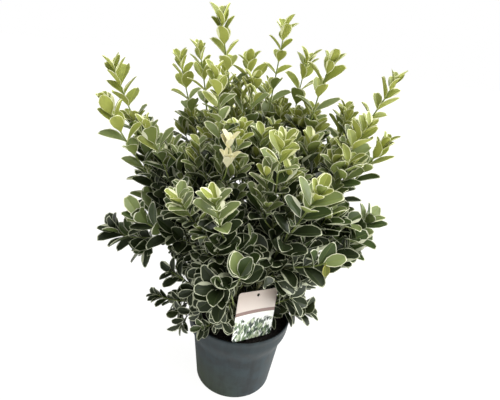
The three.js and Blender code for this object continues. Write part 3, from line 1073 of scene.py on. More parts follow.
class Growth:
    """All the twigs and leaves of the plant, grown shoot by shoot."""

    def __init__(self, leaf_length, leaf_width, seed):
        self.length = leaf_length
        self.width = leaf_width
        self.boughs = plan_boughs()
        self.stems = [stem for bough in self.boughs for stem in plan_shoots(bough)] + plan_skirts()
        self.limbs = self.boughs + self.stems
        self.room = Room(self.limbs)
        self.vigour = [self.vigour_of(limb, dice(seed + 7 * k)) for k, limb in enumerate(self.limbs)]
        self.leaves = []
        self.twigs = []
        self.grow_cream_spray(dice(seed + 77))
        yellow = yellow_spot() - UP * YELLOW_LEAF["half_length"]
        self.room.views.append(self.room.view(yellow, *VIEWS["yellow"]))
        for index, stem in enumerate(self.stems):
            self.grow_shoot(len(self.boughs) + index, stem, dice(index + seed))
        for index, bough in enumerate(self.boughs):
            self.grow_bough(index, bough, dice(101 + index + seed))

    def vigour_of(self, limb, roll):
        """Leaves are smaller on the low shoots, inside the crown and at the front, and vary by shoot."""
        sunny = max(0.0, -math.sin(math.radians(limb["bearing"])))
        size = 1 - LEAF["sunny_size"] * sunny
        if limb["group"] == "low":
            size = LEAF["skirt_size"]
        elif "node" not in limb:
            size = LEAF["inner_size"]
        return size * varied(LEAF["vigour_spread"], roll)

    def stations(self, own, curve, bare, roll, leggy=0.0):
        """Distances from the tip to the pairs of leaves, closest at the tip and where leaves are small."""
        places, place, k = [], PAIRS["first"], 0
        size = mixed(PAIRS["small_leaves"], 1.0, self.size_at(own, curve.controls[-1], LEAF["grown_by"]))
        while place < curve.length - bare:
            places.append(place)
            gap = min(PAIRS["longest_gap"], PAIRS["gap"] + PAIRS["gap_growth"] * k)
            stretch = size * (1 + LEGGY["gap"] * leggy * (k > 0))
            place += gap * stretch * varied(PAIRS["gap_spread"], roll)
            k += 1
        return places

    def node(self, curve, share, ref, turn):
        t = curve.at(share)
        lift = mixed(BRANCHING["low_upright"], BRANCHING["upright"], above_low(curve.point(t)[2]))
        tangent = unit(curve.tangent(t) + UP * lift)
        across = unit(ref - tangent * np.dot(ref, tangent))
        return {"centre": curve.point(t), "tangent": tangent, "out": about(across, tangent, turn)}

    def size_at(self, own, place, below_tip):
        """A leaf's size by height and distance from the tip, larger low down on the side that gets light."""
        heights, tips, grown = zip(*LEAF_SIZES)
        at_tip, below = np.interp(place[2], heights, tips), np.interp(place[2], heights, grown)
        bright = max(0.0, float(np.dot(unit(level(place)), polar(LEAF["bright_side"], 1, 0))))
        more = 1 + LEAF["bright_side_size"] * bright * (1 - above_low(place[2]))
        return more * self.vigour[own] * mixed(at_tip, below, ramped(below_tip, 0, LEAF["grown_by"]))

    def leaf(self, own, node, out, below_tip, tipness, roll, scale=1.0, openness=1.0, age=None):
        """One leaf, steeper where there is no room for it, or none."""
        centre, axis = node["centre"], node["tangent"]
        spread = ramped(below_tip, 0, LEAF["spread_by"])
        closed = mixed(LEAF["low_tip_angle"], LEAF["tip_angle"], above_low(centre[2])) * openness
        angle = mixed(closed, LEAF["spread_angle"], spread)
        size = scale * self.size_at(own, centre, below_tip) * varied(LEAF["size_spread"], roll)
        size = min(size, LEAF["largest"])
        twist = BRANCHING["roll_spread"] * (roll() - 0.5)
        tint = AGE["spread"] * (roll() - 0.5)
        shape = int(roll() * 0.999 * LEAF_FORMS) + LEAF_FORMS * (size < SMALL_LEAF["below"])
        for share in LEAF_TRIES:
            tilt = math.radians(angle * share)
            along = axis * math.cos(tilt) + out * math.sin(tilt)
            normal = about(axis * math.sin(tilt) - out * math.cos(tilt), along, twist)
            normal = self.turn_to_light(centre, along, normal)
            across = np.cross(along, normal)
            stops = []
            for place, half in LEAF_CHECKS:
                middle = centre + along * place * size * self.length
                stops += [middle + across * side * half * size * self.width / 2 for side in (-1, 1)]
            checks = np.array(stops)
            spots = [centre + along * size * self.length * place for place in LEAF_SPOTS]
            if self.room.free(checks, own, CLEAR["limb"]) and self.room.uncrowded(spots):
                self.room.fill(spots)
                row = {"root": centre, "along": along, "facing": normal, "size": size, "shape": shape}
                row["age"] = self.age_of(centre, tipness, tint) if age is None else age
                row["group"] = self.limbs[own]["group"]
                self.leaves.append(row)
                return True
        return False

    def turn_to_light(self, place, along, normal):
        """Turns a leaf's face part of the way to the light, which reaches the low leaves from outside."""
        low = 1 - above_low(place[2])
        light = unit(np.array(LEAF["light"]) + unit(level(place)) * LEAF["side_light"] * low)
        sky = light - along * np.dot(light, along)
        if np.linalg.norm(sky) < LEAF["end_on"]:
            return normal
        sky = unit(sky)
        turn = math.degrees(math.atan2(np.dot(np.cross(normal, sky), along), np.dot(normal, sky)))
        if abs(turn) > LEAF["turned_away"]:
            return normal
        most = LEAF["most_turn"]
        turn *= mixed(LEAF["light_turn"], LEAF["low_light_turn"], low)
        return about(normal, along, max(-most, min(most, turn)))

    def age_of(self, place, tipness, tint):
        """Older low down and younger at the tips of high shoots; the older, darker ages deep inside the crown
        are painted shade, and the younger, paler ages outside it are painted light.
        """
        rise = ramped(place[2], AGE["foot"], AGE["top"])
        fresh = tipness * mixed(AGE["low_tip"], 1.0, ramped(place[2], AGE["dull_below"], AGE["bright_above"]))
        depth = math.hypot(place[0], place[1]) / np.interp(place[2], *zip(*CROWN))
        # Painted shade: leaves deep inside the crown, away from the tips and low down, get darker ages
        inside = ramped(depth, AGE["outer"], AGE["inner"]) * (1 - tipness) * (1 - rise)
        # Painted light: leaves out past the crown's reach get paler ages
        outside = AGE["outside"] * ramped(depth, 1.0, 1.1)
        score = AGE["height"] * rise + AGE["tip"] * fresh + outside - AGE["inside"] * inside + tint
        return sum(score > limit for limit in AGE_LIMITS)

    def pair(self, own, node, *growth, **form):
        return sum(self.leaf(own, node, out, *growth, **form) for out in (node["out"], -node["out"]))

    def twig(self, own, node, out, length, order, roll):
        """A side twig that sets off at an angle and then lifts or droops, with its leaves and side twigs."""
        angle = BRANCHING["twig_angle"] if order == 1 else BRANCHING["side_twig_angle"]
        tilt = math.radians(angle)
        set_off = node["tangent"] * math.cos(tilt) + out * math.sin(tilt)
        centre = node["centre"]
        lift = mixed(BRANCHING["low_lift"], BRANCHING["twig_lift"], above_low(centre[2]))
        end = centre + set_off * BRANCHING["twig_reach"] * length + UP * lift * length
        curve = Curve(centre, centre + set_off * BRANCHING["twig_bend"] * length, end)
        checks = np.array([curve.point(share) for share in TWIG_CHECKS])
        if not self.room.free(checks, own, CLEAR["twig_limb"]):
            return False
        ref = level_normal(set_off, self.limbs[own]["bearing"])
        phase = 360 * roll()
        count = 0
        if order == 1 and length > BRANCHING["side_twig_from"]:
            fork = self.node(curve, BRANCHING["side_twig_place"], ref, phase + 45)
            for side in (fork["out"], -fork["out"]):
                short = length * BRANCHING["side_twig_share"] * varied(BRANCHING["side_twig_spread"], roll)
                count += self.twig(own, fork, side, short, 2, roll)
        leafy = BRANCHING["side_twig_place"] if count else 0.0
        openness = mixed(*OPENNESS["twig"], roll())
        for k, place in enumerate(self.stations(own, curve, BRANCHING["twig_bare"] * length, roll)):
            share = 1 - place / curve.length
            spot = self.node(curve, share, ref, phase + 90 * k)
            tipness = AGE["twig_tip"] * ramped(place, AGE["young_twig"], 0)
            if self.pair(own, spot, place, tipness, roll, openness=openness):
                leafy = max(leafy, share)
        if leafy:
            thick = (BRANCHING["twig_radius"], BRANCHING["twig_tip"])
            if order == 2:
                thick = (BRANCHING["twig_tip"], BRANCHING["side_twig_tip"])
            green = centre[2] > BRANCHING["green_above"] or order == 2
            self.add_twig(own, curve, BRANCHING["twig_runs"], thick, int(green), leafy)
        return bool(leafy)

    def add_twig(self, own, curve, runs, radii, wood, until=1.0):
        """A twig that is drawn as far as its last leaves."""
        points = [curve.point(curve.at(until * i / runs)) for i in range(runs + 1)]
        thick = list(np.linspace(radii[0], radii[1], runs + 1))
        self.twigs.append({"group": self.limbs[own]["group"], "points": points, "radii": thick, "wood": wood})

    def grow_cream_spray(self, roll):
        """The pale shoot: upright, from the nearest limb, with small leaves."""
        bearing, reach = CREAM_SPRAY["bearing"], CREAM_SPRAY["reach"]
        foot = polar(bearing, reach, CREAM_SPRAY["foot"])
        top = polar(bearing, reach + CREAM_SPRAY["lean"], CREAM_SPRAY["top"])
        owned = mixed(foot, top, CREAM_SPRAY["owned_at"])
        own = int(self.room.limbs.distances(owned[None])[0].argmin())
        axis = axis_of(self.limbs[own]["curve"])
        start = axis[np.linalg.norm(axis - foot + UP * CREAM_SPRAY["joint_drop"], axis=1).argmin()]
        curve = Curve(start, mixed(start, foot, CREAM_SPRAY["bend"]), foot, top)
        ref = level_normal(top - foot, bearing)
        for k, place in enumerate(CREAM_PAIRS):
            spot = self.node(curve, 1 - place / curve.length, ref, 30 + 90 * k)
            below = place % CREAM_SPRAY["second_rosette"]
            self.pair(own, spot, below, 1.0, roll, scale=CREAM_SPRAY["scale"], age=AGES.index("cream"))
        self.add_twig(own, curve, CREAM_SPRAY["runs"], (BRANCHING["twig_radius"], BRANCHING["twig_tip"]), 1)
        seen = mixed(foot, top, CREAM_SPRAY["seen_at"])
        self.room.views.append(self.room.view(seen, *VIEWS["spray"]))

    def grow_bough(self, own, bough, roll):
        """Short twigs in pairs up a bough, down among the low shoots."""
        curve = bough["curve"]
        phase = 90 * roll()
        bare = BRANCHING["bough_bare"] * curve.length
        for k, place in enumerate(self.stations(own, curve, bare, roll)):
            node = self.node(curve, 1 - place / curve.length, bough["ref"], phase + 90 * k)
            for out in (node["out"], -node["out"]):
                length = BRANCHING["bough_twig"] * varied(BRANCHING["twig_spread"], roll)
                self.twig(own, node, out, length, 1, roll)

    def grow_shoot(self, own, stem, roll):
        """Pairs of leaves down a shoot from its tip, with twigs in place of every second pair lower down."""
        curve = stem["curve"]
        phase = 90 * roll()
        leggy = ramped(curve.controls[-1][2], LEGGY["from"], LEGGY["full"])
        openness = mixed(*OPENNESS["shoot"], roll())
        twigs_until = mixed(BRANCHING["twigs_until"], LEGGY["twigs_until"], leggy)
        for k, place in enumerate(self.stations(own, curve, BRANCHING["bare"], roll, leggy)):
            share = 1 - place / curve.length
            turn = phase + 90 * k + BRANCHING["turn_spread"] * (roll() - 0.5)
            node = self.node(curve, share, stem["ref"], turn)
            tipness = ramped(place, AGE["young_shoot"], 0)
            if share > twigs_until or k % 2 == 1:
                self.pair(own, node, place, tipness, roll, openness=openness)
                continue
            for out in (node["out"], -node["out"]):
                luck = varied(BRANCHING["twig_spread"], roll)
                length = BRANCHING["twig_length"] * (BRANCHING["twig_fade"] - share) * luck
                length = max(BRANCHING["twig_shortest"], length)
                if roll() > BRANCHING["twig_share"] or not self.twig(own, node, out, length, 1, roll):
                    self.leaf(own, node, out, place, tipness, roll, openness=openness)
        self.draw_shoot(stem)

    def draw_shoot(self, stem):
        """A shoot's woody foot, which starts inside the limb that it grows from, and its green tip."""
        curve = stem["curve"]
        runs = max(SHOOT["fewest_runs"], round(curve.length / SHOOT["run"]))
        points = [curve.point(curve.at(i / runs)) for i in range(runs + 1)]
        radii = list(np.linspace(SHOOT["foot_radius"], SHOOT["tip_radius"], runs + 1))
        cut = round(runs * SHOOT["woody"])
        foot = ([stem["joint"], *points[: cut + 1]], [SHOOT["joint_radius"], *radii[: cut + 1]])
        tip = (points[cut:], radii[cut:])
        for wood, (points, radii) in enumerate((foot, tip)):
            self.twigs.append({"group": stem["group"], "points": points, "radii": radii, "wood": wood})


@functools.cache
def growth(leaf_length, leaf_width, seed):
    return Growth(leaf_length, leaf_width, seed)


def grown_plant():
    settings = bpy.context.scene.shrub_settings
    return growth(settings.leaf_length / MM, settings.leaf_width / MM, settings.leaf_seed)


def groups_of_nodes(plant):
    """The frame's foliage nodes for each bough, and for the low shoots."""
    nodes = {}
    for stem in plant.stems:
        nodes.setdefault(stem["group"], []).append(stem["node"])
    return nodes


# Leaves


def leaf_shape(index, length, width, margin):
    """One leaf in metres, along +Y with its face up, its faces numbered by zone: blade, margin, underside."""
    roll = dice(401 + index)
    pointed = index % 2 == 0
    widest = BLADE["pointed_widest"] if pointed else BLADE["round_widest"]
    widest += BLADE["widest_spread"] * (roll() - 0.5)
    bulge = BLADE["pointed_curve"] if pointed else BLADE["round_curve"]
    fold = mixed(*BLADE["fold"], roll())
    droop = mixed(*BLADE["droop"], roll())
    twist = BLADE["twist"] * (roll() - 0.5)
    half_width = width / 2 * varied(BLADE["width_spread"], roll)
    # Every third shape has a stretch where the pale margin reaches halfway to the rib
    broad = (3, 4) if index % 3 == 1 else ()
    points, rows = [], []
    for i, share in enumerate(BLADE["stations"]):
        if share < widest:
            half = math.sin(math.pi / 2 * share / widest) ** BLADE["foot_curve"]
        else:
            half = max(0.0, 1 - ((share - widest) / (BLADE["tip_at"] - widest)) ** 2) ** bulge
        half = max(BLADE["stalk"], half * half_width * (1 + BLADE["scallop"] * (-1) ** i))
        edges = [margin * varied(BLADE["margin_spread"], roll) for _ in range(2)]
        left, right = (max(half * BLADE["least_green"], half - edge) for edge in edges)
        if i in broad:
            right = half * BLADE["broad_margin"]
        bend = -droop * length * share**2
        turn = math.radians(twist * share)
        rib = min(BLADE["rib"], half * BLADE["most_rib"])
        row = []
        for x in (-half, -left, -rib, rib, right, half):
            z = bend + fold * abs(x) * (1 - BLADE["flattened"] * abs(x) / half_width) - fold * rib
            if abs(x) == half:
                z += BLADE["wave"] * math.sin(BLADE["waves"] * share + 2 * index + 2 * (x > 0))
            across, up = x * math.cos(turn) - z * math.sin(turn), x * math.sin(turn) + z * math.cos(turn)
            row.append((across, share * length, up))
        thick = BLADE["thick"] if share > BLADE["stalk_until"] else BLADE["stalk_thick"]
        middle = [(a + b) / 2 for a, b in zip(row[2], row[3])]
        under = [(x, y, z - thick) for x, y, z in (row[1], middle, row[4])]
        rows.append(list(range(len(points), len(points) + 9)))
        points += row + under
    faces, zones = [], []
    for i, (a, b) in enumerate(zip(rows, rows[1:])):
        at_tip = i == len(rows) - 2
        for j in range(5):
            faces.append((a[j], a[j + 1], b[j + 1], b[j]))
            zones.append(1 if j in (0, 4) or at_tip else 2 if j == 2 else 0)
        under = [0, 6, 7, 8, 5]
        for j, k in zip(under, under[1:]):
            faces.append((a[k], a[j], b[j], b[k]))
            zones.append(1 if j == 0 or k == 5 else 2)
    for row, order in ((rows[0], (5, 4, 3, 2, 1, 0, 6, 7, 8)), (rows[-1], (0, 1, 2, 3, 4, 5, 8, 7, 6))):
        faces.append(tuple(row[k] for k in order))
    zones += [2, 1]
    mesh = bpy.data.meshes.new(f"leaf_shape_{index}")
    mesh.from_pydata(points, [], faces)
    set_attribute(mesh, "zone", "INT", zones, "FACE")
    smooth(mesh, 55)
    return bpy.data.objects.new(f"leaf_shape_{index}", mesh)


def leaf_collection(settings):
    shapes = bpy.data.collections.new("leaf_shapes")
    for index in range(2 * LEAF_FORMS):
        margin = settings.margin_width * (1 if index < LEAF_FORMS else SMALL_LEAF["margin"])
        shapes.objects.link(leaf_shape(index, settings.leaf_length, settings.leaf_width, margin))
    return shapes


def leaf_tree(shapes, materials):
    """Puts a leaf on each point, turned and sized by the point's attributes."""
    tree, start = new_tree("leaves_on_points", ("Size", "NodeSocketFloat", 1.0))
    named = {name: field(tree, name, kind) for name, kind in (LEAF_FIELDS | {"zone": "INT"}).items()}
    axes = {"Primary Axis": named["along"], "Secondary Axis": named["facing"]}
    sizes = {0: named["size"], 1: start.outputs["Size"]}
    models = {"Collection": shapes, "Separate Children": True}
    inputs = {
        "Points": start,
        "Instance": add_node(tree, "GeometryNodeCollectionInfo", models),
        "Pick Instance": True,
        "Instance Index": named["shape"],
        "Rotation": add_node(tree, "FunctionNodeAxesToRotation", axes, primary_axis="Y", secondary_axis="Z"),
        "Scale": add_node(tree, "ShaderNodeMath", sizes, operation="MULTIPLY"),
    }
    placed = add_node(tree, "GeometryNodeInstanceOnPoints", inputs)
    inputs = {0: named["age"], 1: 3.0, 2: named["zone"]}
    finish = add_node(tree, "ShaderNodeMath", inputs, operation="MULTIPLY_ADD")
    return finish_tree(tree, placed, materials, finish)


class SHRUB_OT_leaves(bpy.types.Operator):
    """Grows the leaves of each bough's masses as one piece"""

    bl_idname = "shrub.leaves"
    bl_label = "Leaves"

    def execute(self, context):
        settings = context.scene.shrub_settings
        plant = grown_plant()
        tree = leaf_tree(leaf_collection(settings), leaf_finishes(settings))
        spot = yellow_spot()
        yellow = min(plant.leaves, key=lambda row: np.linalg.norm(row["root"] - spot))
        yellow.update({"age": AGES.index("yellow"), "size": YELLOW_LEAF["scale"]})
        yellow["along"] = unit(unit(level(spot)) * YELLOW_LEAF["outward"] - UP)
        yellow["facing"] = unit(np.array(YELLOW_LEAF["facing"]))
        for group, nodes in groups_of_nodes(plant).items():
            rows = [row for row in plant.leaves if row["group"] == group]
            piece = new_object(f"leaves_{group}", [row["root"] for row in rows], [])
            for name, kind in LEAF_FIELDS.items():
                set_attribute(piece.data, name, kind, [row[name] for row in rows])
            grown_mesh(piece, tree, Size=1.0)
            settle(piece, "leaf_old" if group == "low" else "leaf_young", *nodes)
        return {"FINISHED"}


# Twigs


def twig_tree(materials):
    """Sweeps a round section along each line of points, as thick as the points say."""
    tree, start = new_tree("twigs_along_lines", ("Sides", "NodeSocketInt", 6))
    section = {"Resolution": start.outputs["Sides"], "Radius": 1.0}
    inputs = {
        "Curve": add_node(tree, "GeometryNodeMeshToCurve", {"Mesh": start}),
        "Profile Curve": add_node(tree, "GeometryNodeCurvePrimitiveCircle", section),
        "Scale": field(tree, "thickness", "FLOAT"),
        "Fill Caps": True,
    }
    swept = add_node(tree, "GeometryNodeCurveToMesh", inputs)
    rounded = add_node(tree, "GeometryNodeSetShadeSmooth", {"Geometry": swept})
    return finish_tree(tree, rounded, materials, field(tree, "wood", "INT"))


class SHRUB_OT_twigs(bpy.types.Operator):
    """Grows the shoots and twigs of each bough's masses as one piece"""

    bl_idname = "shrub.twigs"
    bl_label = "Shoots and twigs"

    def execute(self, context):
        plant = grown_plant()
        tree = twig_tree(twig_skins())
        for group, nodes in groups_of_nodes(plant).items():
            points, edges, thick, wood = [], [], [], []
            for twig in (t for t in plant.twigs if t["group"] == group):
                first = len(points)
                points += twig["points"]
                edges += [(first + i, first + i + 1) for i in range(len(twig["points"]) - 1)]
                thick += [r * MM for r in twig["radii"]]
                wood += [twig["wood"]] * len(twig["points"])
            piece = new_object(f"twigs_{group}", points, [], edges)
            for (name, kind), values in zip(TWIG_FIELDS.items(), (thick, wood)):
                set_attribute(piece.data, name, kind, values)
            grown_mesh(piece, tree, Sides=6)
            settle(piece, "leaf_old" if group == "low" else "leaf_young", *nodes)
        return {"FINISHED"}


# Bark


def limb_mesh(curve, ref, radii, sides, relief, seed, step=2.0):
    """Points and faces of a closed limb with furrows along it."""
    rings = max(6, round(curve.length / step))
    points = []
    for i in range(rings + 1):
        share = i / rings
        t = curve.at(share)
        tangent = curve.tangent(t)
        across = unit(ref - tangent * np.dot(ref, tangent))
        third = np.cross(tangent, across)
        centre = curve.point(t)
        radius = radii(share)
        for j in range(sides):
            angle = 2 * math.pi * j / sides
            x, y = math.cos(angle), math.sin(angle)
            ridge = (x * BARK["round"], y * BARK["round"], share * BARK["along"] + 9.1 * seed)
            furrow = noise.noise(Vector(ridge))
            knob = noise.noise(Vector((x, y, share * curve.length / BARK["knob"] + 3.7 * seed)))
            reach = radius - relief * (BARK["worn"] + abs(furrow) * BARK["furrow"])
            reach += relief * BARK["raised"] * knob
            points.append(centre + (across * x + third * y) * reach)
    return points, closed_faces(rings + 1, sides)


def trunk_radius(share):
    places = (0, TRUNK["flare"], TRUNK["waist"], 1)
    widths = (TRUNK["foot_radius"], TRUNK["flare_radius"], TRUNK["waist_radius"], TRUNK["top_radius"])
    return float(np.interp(share, places, widths)) * (1 - TRUNK["rounding"] * share**6)


def bough_radius(share):
    widths = (BOUGH["collar_radius"], BOUGH["foot_radius"], BOUGH["fork_radius"])
    return np.interp(share, (0, BOUGH["collar"], 1), widths)


class SHRUB_OT_bark(bpy.types.Operator):
    """Makes the trunk and the boughs with the relief of their bark"""

    bl_idname = "shrub.bark"
    bl_label = "Trunk and boughs"

    def execute(self, context):
        bark = furrowed_bark(context.scene.shrub_settings)
        plant = grown_plant()
        heights = (TRUNK_FOOT - TRUNK["sunk"], TRUNK_FOOT + TRUNK["height"] / 2, TRUNK_TOP)
        curve = Curve(*[(0, 0, z) for z in heights])
        right = np.array([1.0, 0, 0])
        points, faces = limb_mesh(curve, right, trunk_radius, sides=72, relief=1.1, seed=5, step=1.0)
        trunk = new_object("trunk_bark", points, faces)
        self.finish(trunk, bark, "trunk_bark", ["trunk"])
        points, faces = [], []
        for index, bough in enumerate(plant.boughs):
            sunk = bough["curve"].controls.copy()
            sunk[0] -= UP * BOUGH["sunk"]
            form = {"sides": 20, "relief": 0.45, "seed": index + 11}
            some, quads = limb_mesh(Curve(*sunk), bough["ref"], bough_radius, **form)
            faces += [tuple(len(points) + v for v in face) for face in quads]
            points += some
        boughs = new_object("bough_bark", points, faces)
        self.finish(boughs, bark, "bough_bark", [f"bough_{bough['group']}" for bough in plant.boughs])
        return {"FINISHED"}

    def finish(self, piece, material, slot, nodes):
        piece.data.materials.append(material)
        smooth(piece.data, 60)
        settle(piece, slot, *nodes)


# Pot


def arc(centre, radius, start, end, steps):
    """Points of a profile's round stretch, angles in degrees from the outward direction."""
    turns = np.linspace(math.radians(start), math.radians(end), steps + 1)
    return [(centre[0] + radius * math.cos(a), centre[1] + radius * math.sin(a)) for a in turns]


def eased(low, high, steps):
    """Radii and heights of the soft kink between the pot's wall and its collar, in line with both."""
    (r0, z0), (r1, z1) = low, high
    rise = z1 - z0
    foot = (POT["shoulder_radius"] - POT["base_radius"]) / POT["shoulder"] * rise
    head = (POT["rim_radius"] - POT["collar_radius"]) / (POT["height"] - POT["collar_foot"]) * rise
    places = []
    for t in (i / steps for i in range(1, steps)):
        ends = r0 * (1 + 2 * t) * (1 - t) ** 2 + r1 * t * t * (3 - 2 * t)
        slopes = foot * t * (1 - t) ** 2 - head * t * t * (1 - t)
        places.append((ends + slopes, z0 + rise * t))
    return places


def pot_profile():
    heel, wall, floor, lip, top = (POT[key] for key in ("heel", "wall", "floor", "lip", "height"))
    low_kink, high_kink = POT["shoulder"] - POT["kink_below"], POT["collar_foot"] + POT["kink_above"]
    under_rim = top - POT["rim_depth"]
    outside = arc((pot_skin(heel) - heel, heel), heel, -90, 0, 8)
    outside += [(pot_skin(z), z) for z in (*POT["wall_rings"], low_kink)]
    outside += eased((pot_skin(low_kink), low_kink), (pot_skin(high_kink), high_kink), 14)
    outside += [(pot_skin(z), z) for z in (high_kink, POT["collar_ring"], under_rim - POT["rim_step"])]
    rim = [(POT["rim_radius"] - POT["rim_tuck"], under_rim)]
    rim += arc((POT["rim_radius"] - lip, top - lip), lip, 0, 90, 6)
    rim += arc((POT["rim_inner"] + lip, top - lip), lip, 90, 180, 6)
    inner = [(POT["rim_inner"] - POT["rim_step"], under_rim)]
    heights = (high_kink, POT["kink_ring"], low_kink, POT["inner_ring"], floor + heel + POT["above_heel"])
    inner += [(pot_skin(z) - wall - POT["inner_play"], z) for z in heights]
    inner += arc((pot_skin(heel) - wall - heel, floor + heel), heel, 0, -90, 6)
    middle = POT["floor_ring"]
    return [(0, 0), (middle, 0.0)] + outside + rim + inner + [(middle, floor), (0, floor)]


def drain_tree(material):
    """Cuts a ring of round holes through the floor of the pot."""
    sockets = [(name, "NodeSocketFloat", DRAIN[name.lower()] * MM) for name in ("Radius", "Circle")]
    tree, start = new_tree("drain_holes", ("Count", "NodeSocketInt", DRAIN["count"]), *sockets)
    ring = {"Vertices": start.outputs["Count"], "Radius": start.outputs["Circle"]}
    drill = {"Vertices": 32, "Radius": start.outputs["Radius"], "Depth": 0.02}
    inputs = {
        "Points": add_node(tree, "GeometryNodeMeshCircle", ring),
        "Instance": add_node(tree, "GeometryNodeMeshCylinder", drill),
    }
    drills = add_node(tree, "GeometryNodeInstanceOnPoints", inputs)
    solid = add_node(tree, "GeometryNodeRealizeInstances", {"Geometry": drills})
    inputs = {"Mesh 1": start, "Mesh 2": solid}
    cut = add_node(tree, "GeometryNodeMeshBoolean", inputs, operation="DIFFERENCE", solver="EXACT")
    return finish_tree(tree, cut, [material])


class SHRUB_OT_pot(bpy.types.Operator):
    """Turns the nursery pot and cuts its drain holes"""

    bl_idname = "shrub.pot"
    bl_label = "Pot"

    def execute(self, context):
        pot = turned_solid("nursery_pot", pot_profile(), POT["sides"])
        grown_mesh(pot, drain_tree(pot_plastic(context.scene.pot_settings)))
        smooth(pot.data, 38)
        settle(pot, "pot_plastic", "pot")
        return {"FINISHED"}


# Compost


def bed_surface(sides, rings):
    """Top of the compost, uneven by a few millimetres and a little higher round the plant."""
    edge = pot_skin(POT["collar_foot"]) - POT["wall"] - SEAT
    points = []
    for i in range(rings + 1):
        radius = edge * (rings - i) / rings
        for j in range(sides):
            spot = polar(360 * j / sides, max(radius, COMPOST["hub"]), 0)
            lumps = sum(noise.noise(Vector(spot) * fineness) * high for fineness, high in LUMPS)
            height = COMPOST["middle"] + (COMPOST["edge"] - COMPOST["middle"]) * radius / edge
            points.append(np.array([spot[0], spot[1], height + lumps - COMPOST["sunk"]]))
    return points


def crumb_shape(index, size):
    """A lump of bark or peat of twenty faces, metres, about its own middle."""
    mesh = bpy.data.meshes.new(f"crumb_shape_{index}")
    shape = bmesh.new()
    bmesh.ops.create_icosphere(shape, subdivisions=1, radius=size / 2)
    roll = dice(701 + index)
    for vert in shape.verts:
        vert.co *= varied(CRUMB["uneven"], roll)
        vert.co.z *= CRUMB["height"]
        vert.co.y *= CRUMB["depth"]
    shape.to_mesh(mesh)
    shape.free()
    return bpy.data.objects.new(mesh.name, mesh)


def crumb_tree(shapes, material):
    """Scatters crumbs over the top of the compost."""
    sockets = [("Spacing", "NodeSocketFloat", 0.0035), ("Density", "NodeSocketFloat", 60000.0)]
    tree, start = new_tree("crumbs_on_compost", *sockets)
    normal = add_node(tree, "ShaderNodeSeparateXYZ", {"Vector": add_node(tree, "GeometryNodeInputNormal")})
    upward = {"A": normal.outputs["Z"], "B": 0.5}
    inputs = {
        "Mesh": start,
        "Selection": add_node(tree, "FunctionNodeCompare", upward, operation="GREATER_THAN"),
        "Distance Min": start.outputs["Spacing"],
        "Density Max": start.outputs["Density"],
        "Seed": 7,
    }
    spots = add_node(tree, "GeometryNodeDistributePointsOnFaces", inputs, distribute_method="POISSON")
    spin = {"Min": (0.0, 0.0, 0.0), "Max": (6.28, 6.28, 6.28), "Seed": 3}
    turn = add_node(tree, "FunctionNodeRandomValue", spin, data_type="FLOAT_VECTOR")
    least, most = CRUMB["sizes"]
    sizes = {"Min_001": least, "Max_001": most, "Seed": 5}
    models = {"Collection": shapes, "Separate Children": True}
    inputs = {
        "Points": spots,
        "Instance": add_node(tree, "GeometryNodeCollectionInfo", models),
        "Pick Instance": True,
        "Rotation": add_node(tree, "FunctionNodeEulerToRotation", {"Euler": turn}),
        "Scale": add_node(tree, "FunctionNodeRandomValue", sizes, data_type="FLOAT"),
    }
    return finish_tree(tree, add_node(tree, "GeometryNodeInstanceOnPoints", inputs), [material])


class SHRUB_OT_compost(bpy.types.Operator):
    """Fills the pot with compost and scatters crumbs over it"""

    bl_idname = "shrub.compost"
    bl_label = "Compost"

    def execute(self, context):
        settings = context.scene.pot_settings
        sides = COMPOST["sides"]
        wall, floor, heel = POT["wall"] + SEAT, POT["floor"] + SEAT, POT["heel"]
        heights = (floor + heel + POT["above_heel"], *COMPOST["wall_rings"])
        walls = [(COMPOST["foot_radius"], floor)]
        walls += [(pot_skin(z) - wall - COMPOST["play"], z) for z in heights]
        below = [polar(360 * j / sides, r, z) for r, z in walls for j in range(sides)]
        points = below + bed_surface(sides, COMPOST["rings"])
        faces = closed_faces(len(points) // sides, sides)
        bed = new_object("compost_bed", points, faces)
        bed.data.materials.append(compost_peat(settings, "peat_compost_moist", 0.4, 1.2))
        smooth(bed.data, 60)
        shapes = bpy.data.collections.new("crumb_shapes")
        for index in range(COMPOST["crumb_shapes"]):
            shapes.objects.link(crumb_shape(index, settings.crumb_size))
        crumbs = new_object("compost_crumbs", points, faces)
        grown_mesh(crumbs, crumb_tree(shapes, compost_peat(settings, "bark_fines_moist", 0.5, 2.0)))
        settle(bed, "compost", "compost")
        settle(crumbs, "compost", "compost")
        return {"FINISHED"}


# Card


def card_outline():
    """The card's rounded outline, from its lower right corner round, and its hole, in its own plane."""
    width, corner = CARD["width"], CARD["corner"]
    right, top = width - corner, CARD["height"] - corner
    centres = [(right, corner), (right, top), (corner, top), (corner, corner)]
    outline = []
    for turn, centre in zip((-90, 0, 90, 180), centres):
        outline += arc(centre, corner, turn, turn + 90, 7)
    hole = arc((width / 2, CARD["height"] - CARD["hole_drop"]), CARD["hole"], 0, 360, 24)[:-1]
    return outline, hole


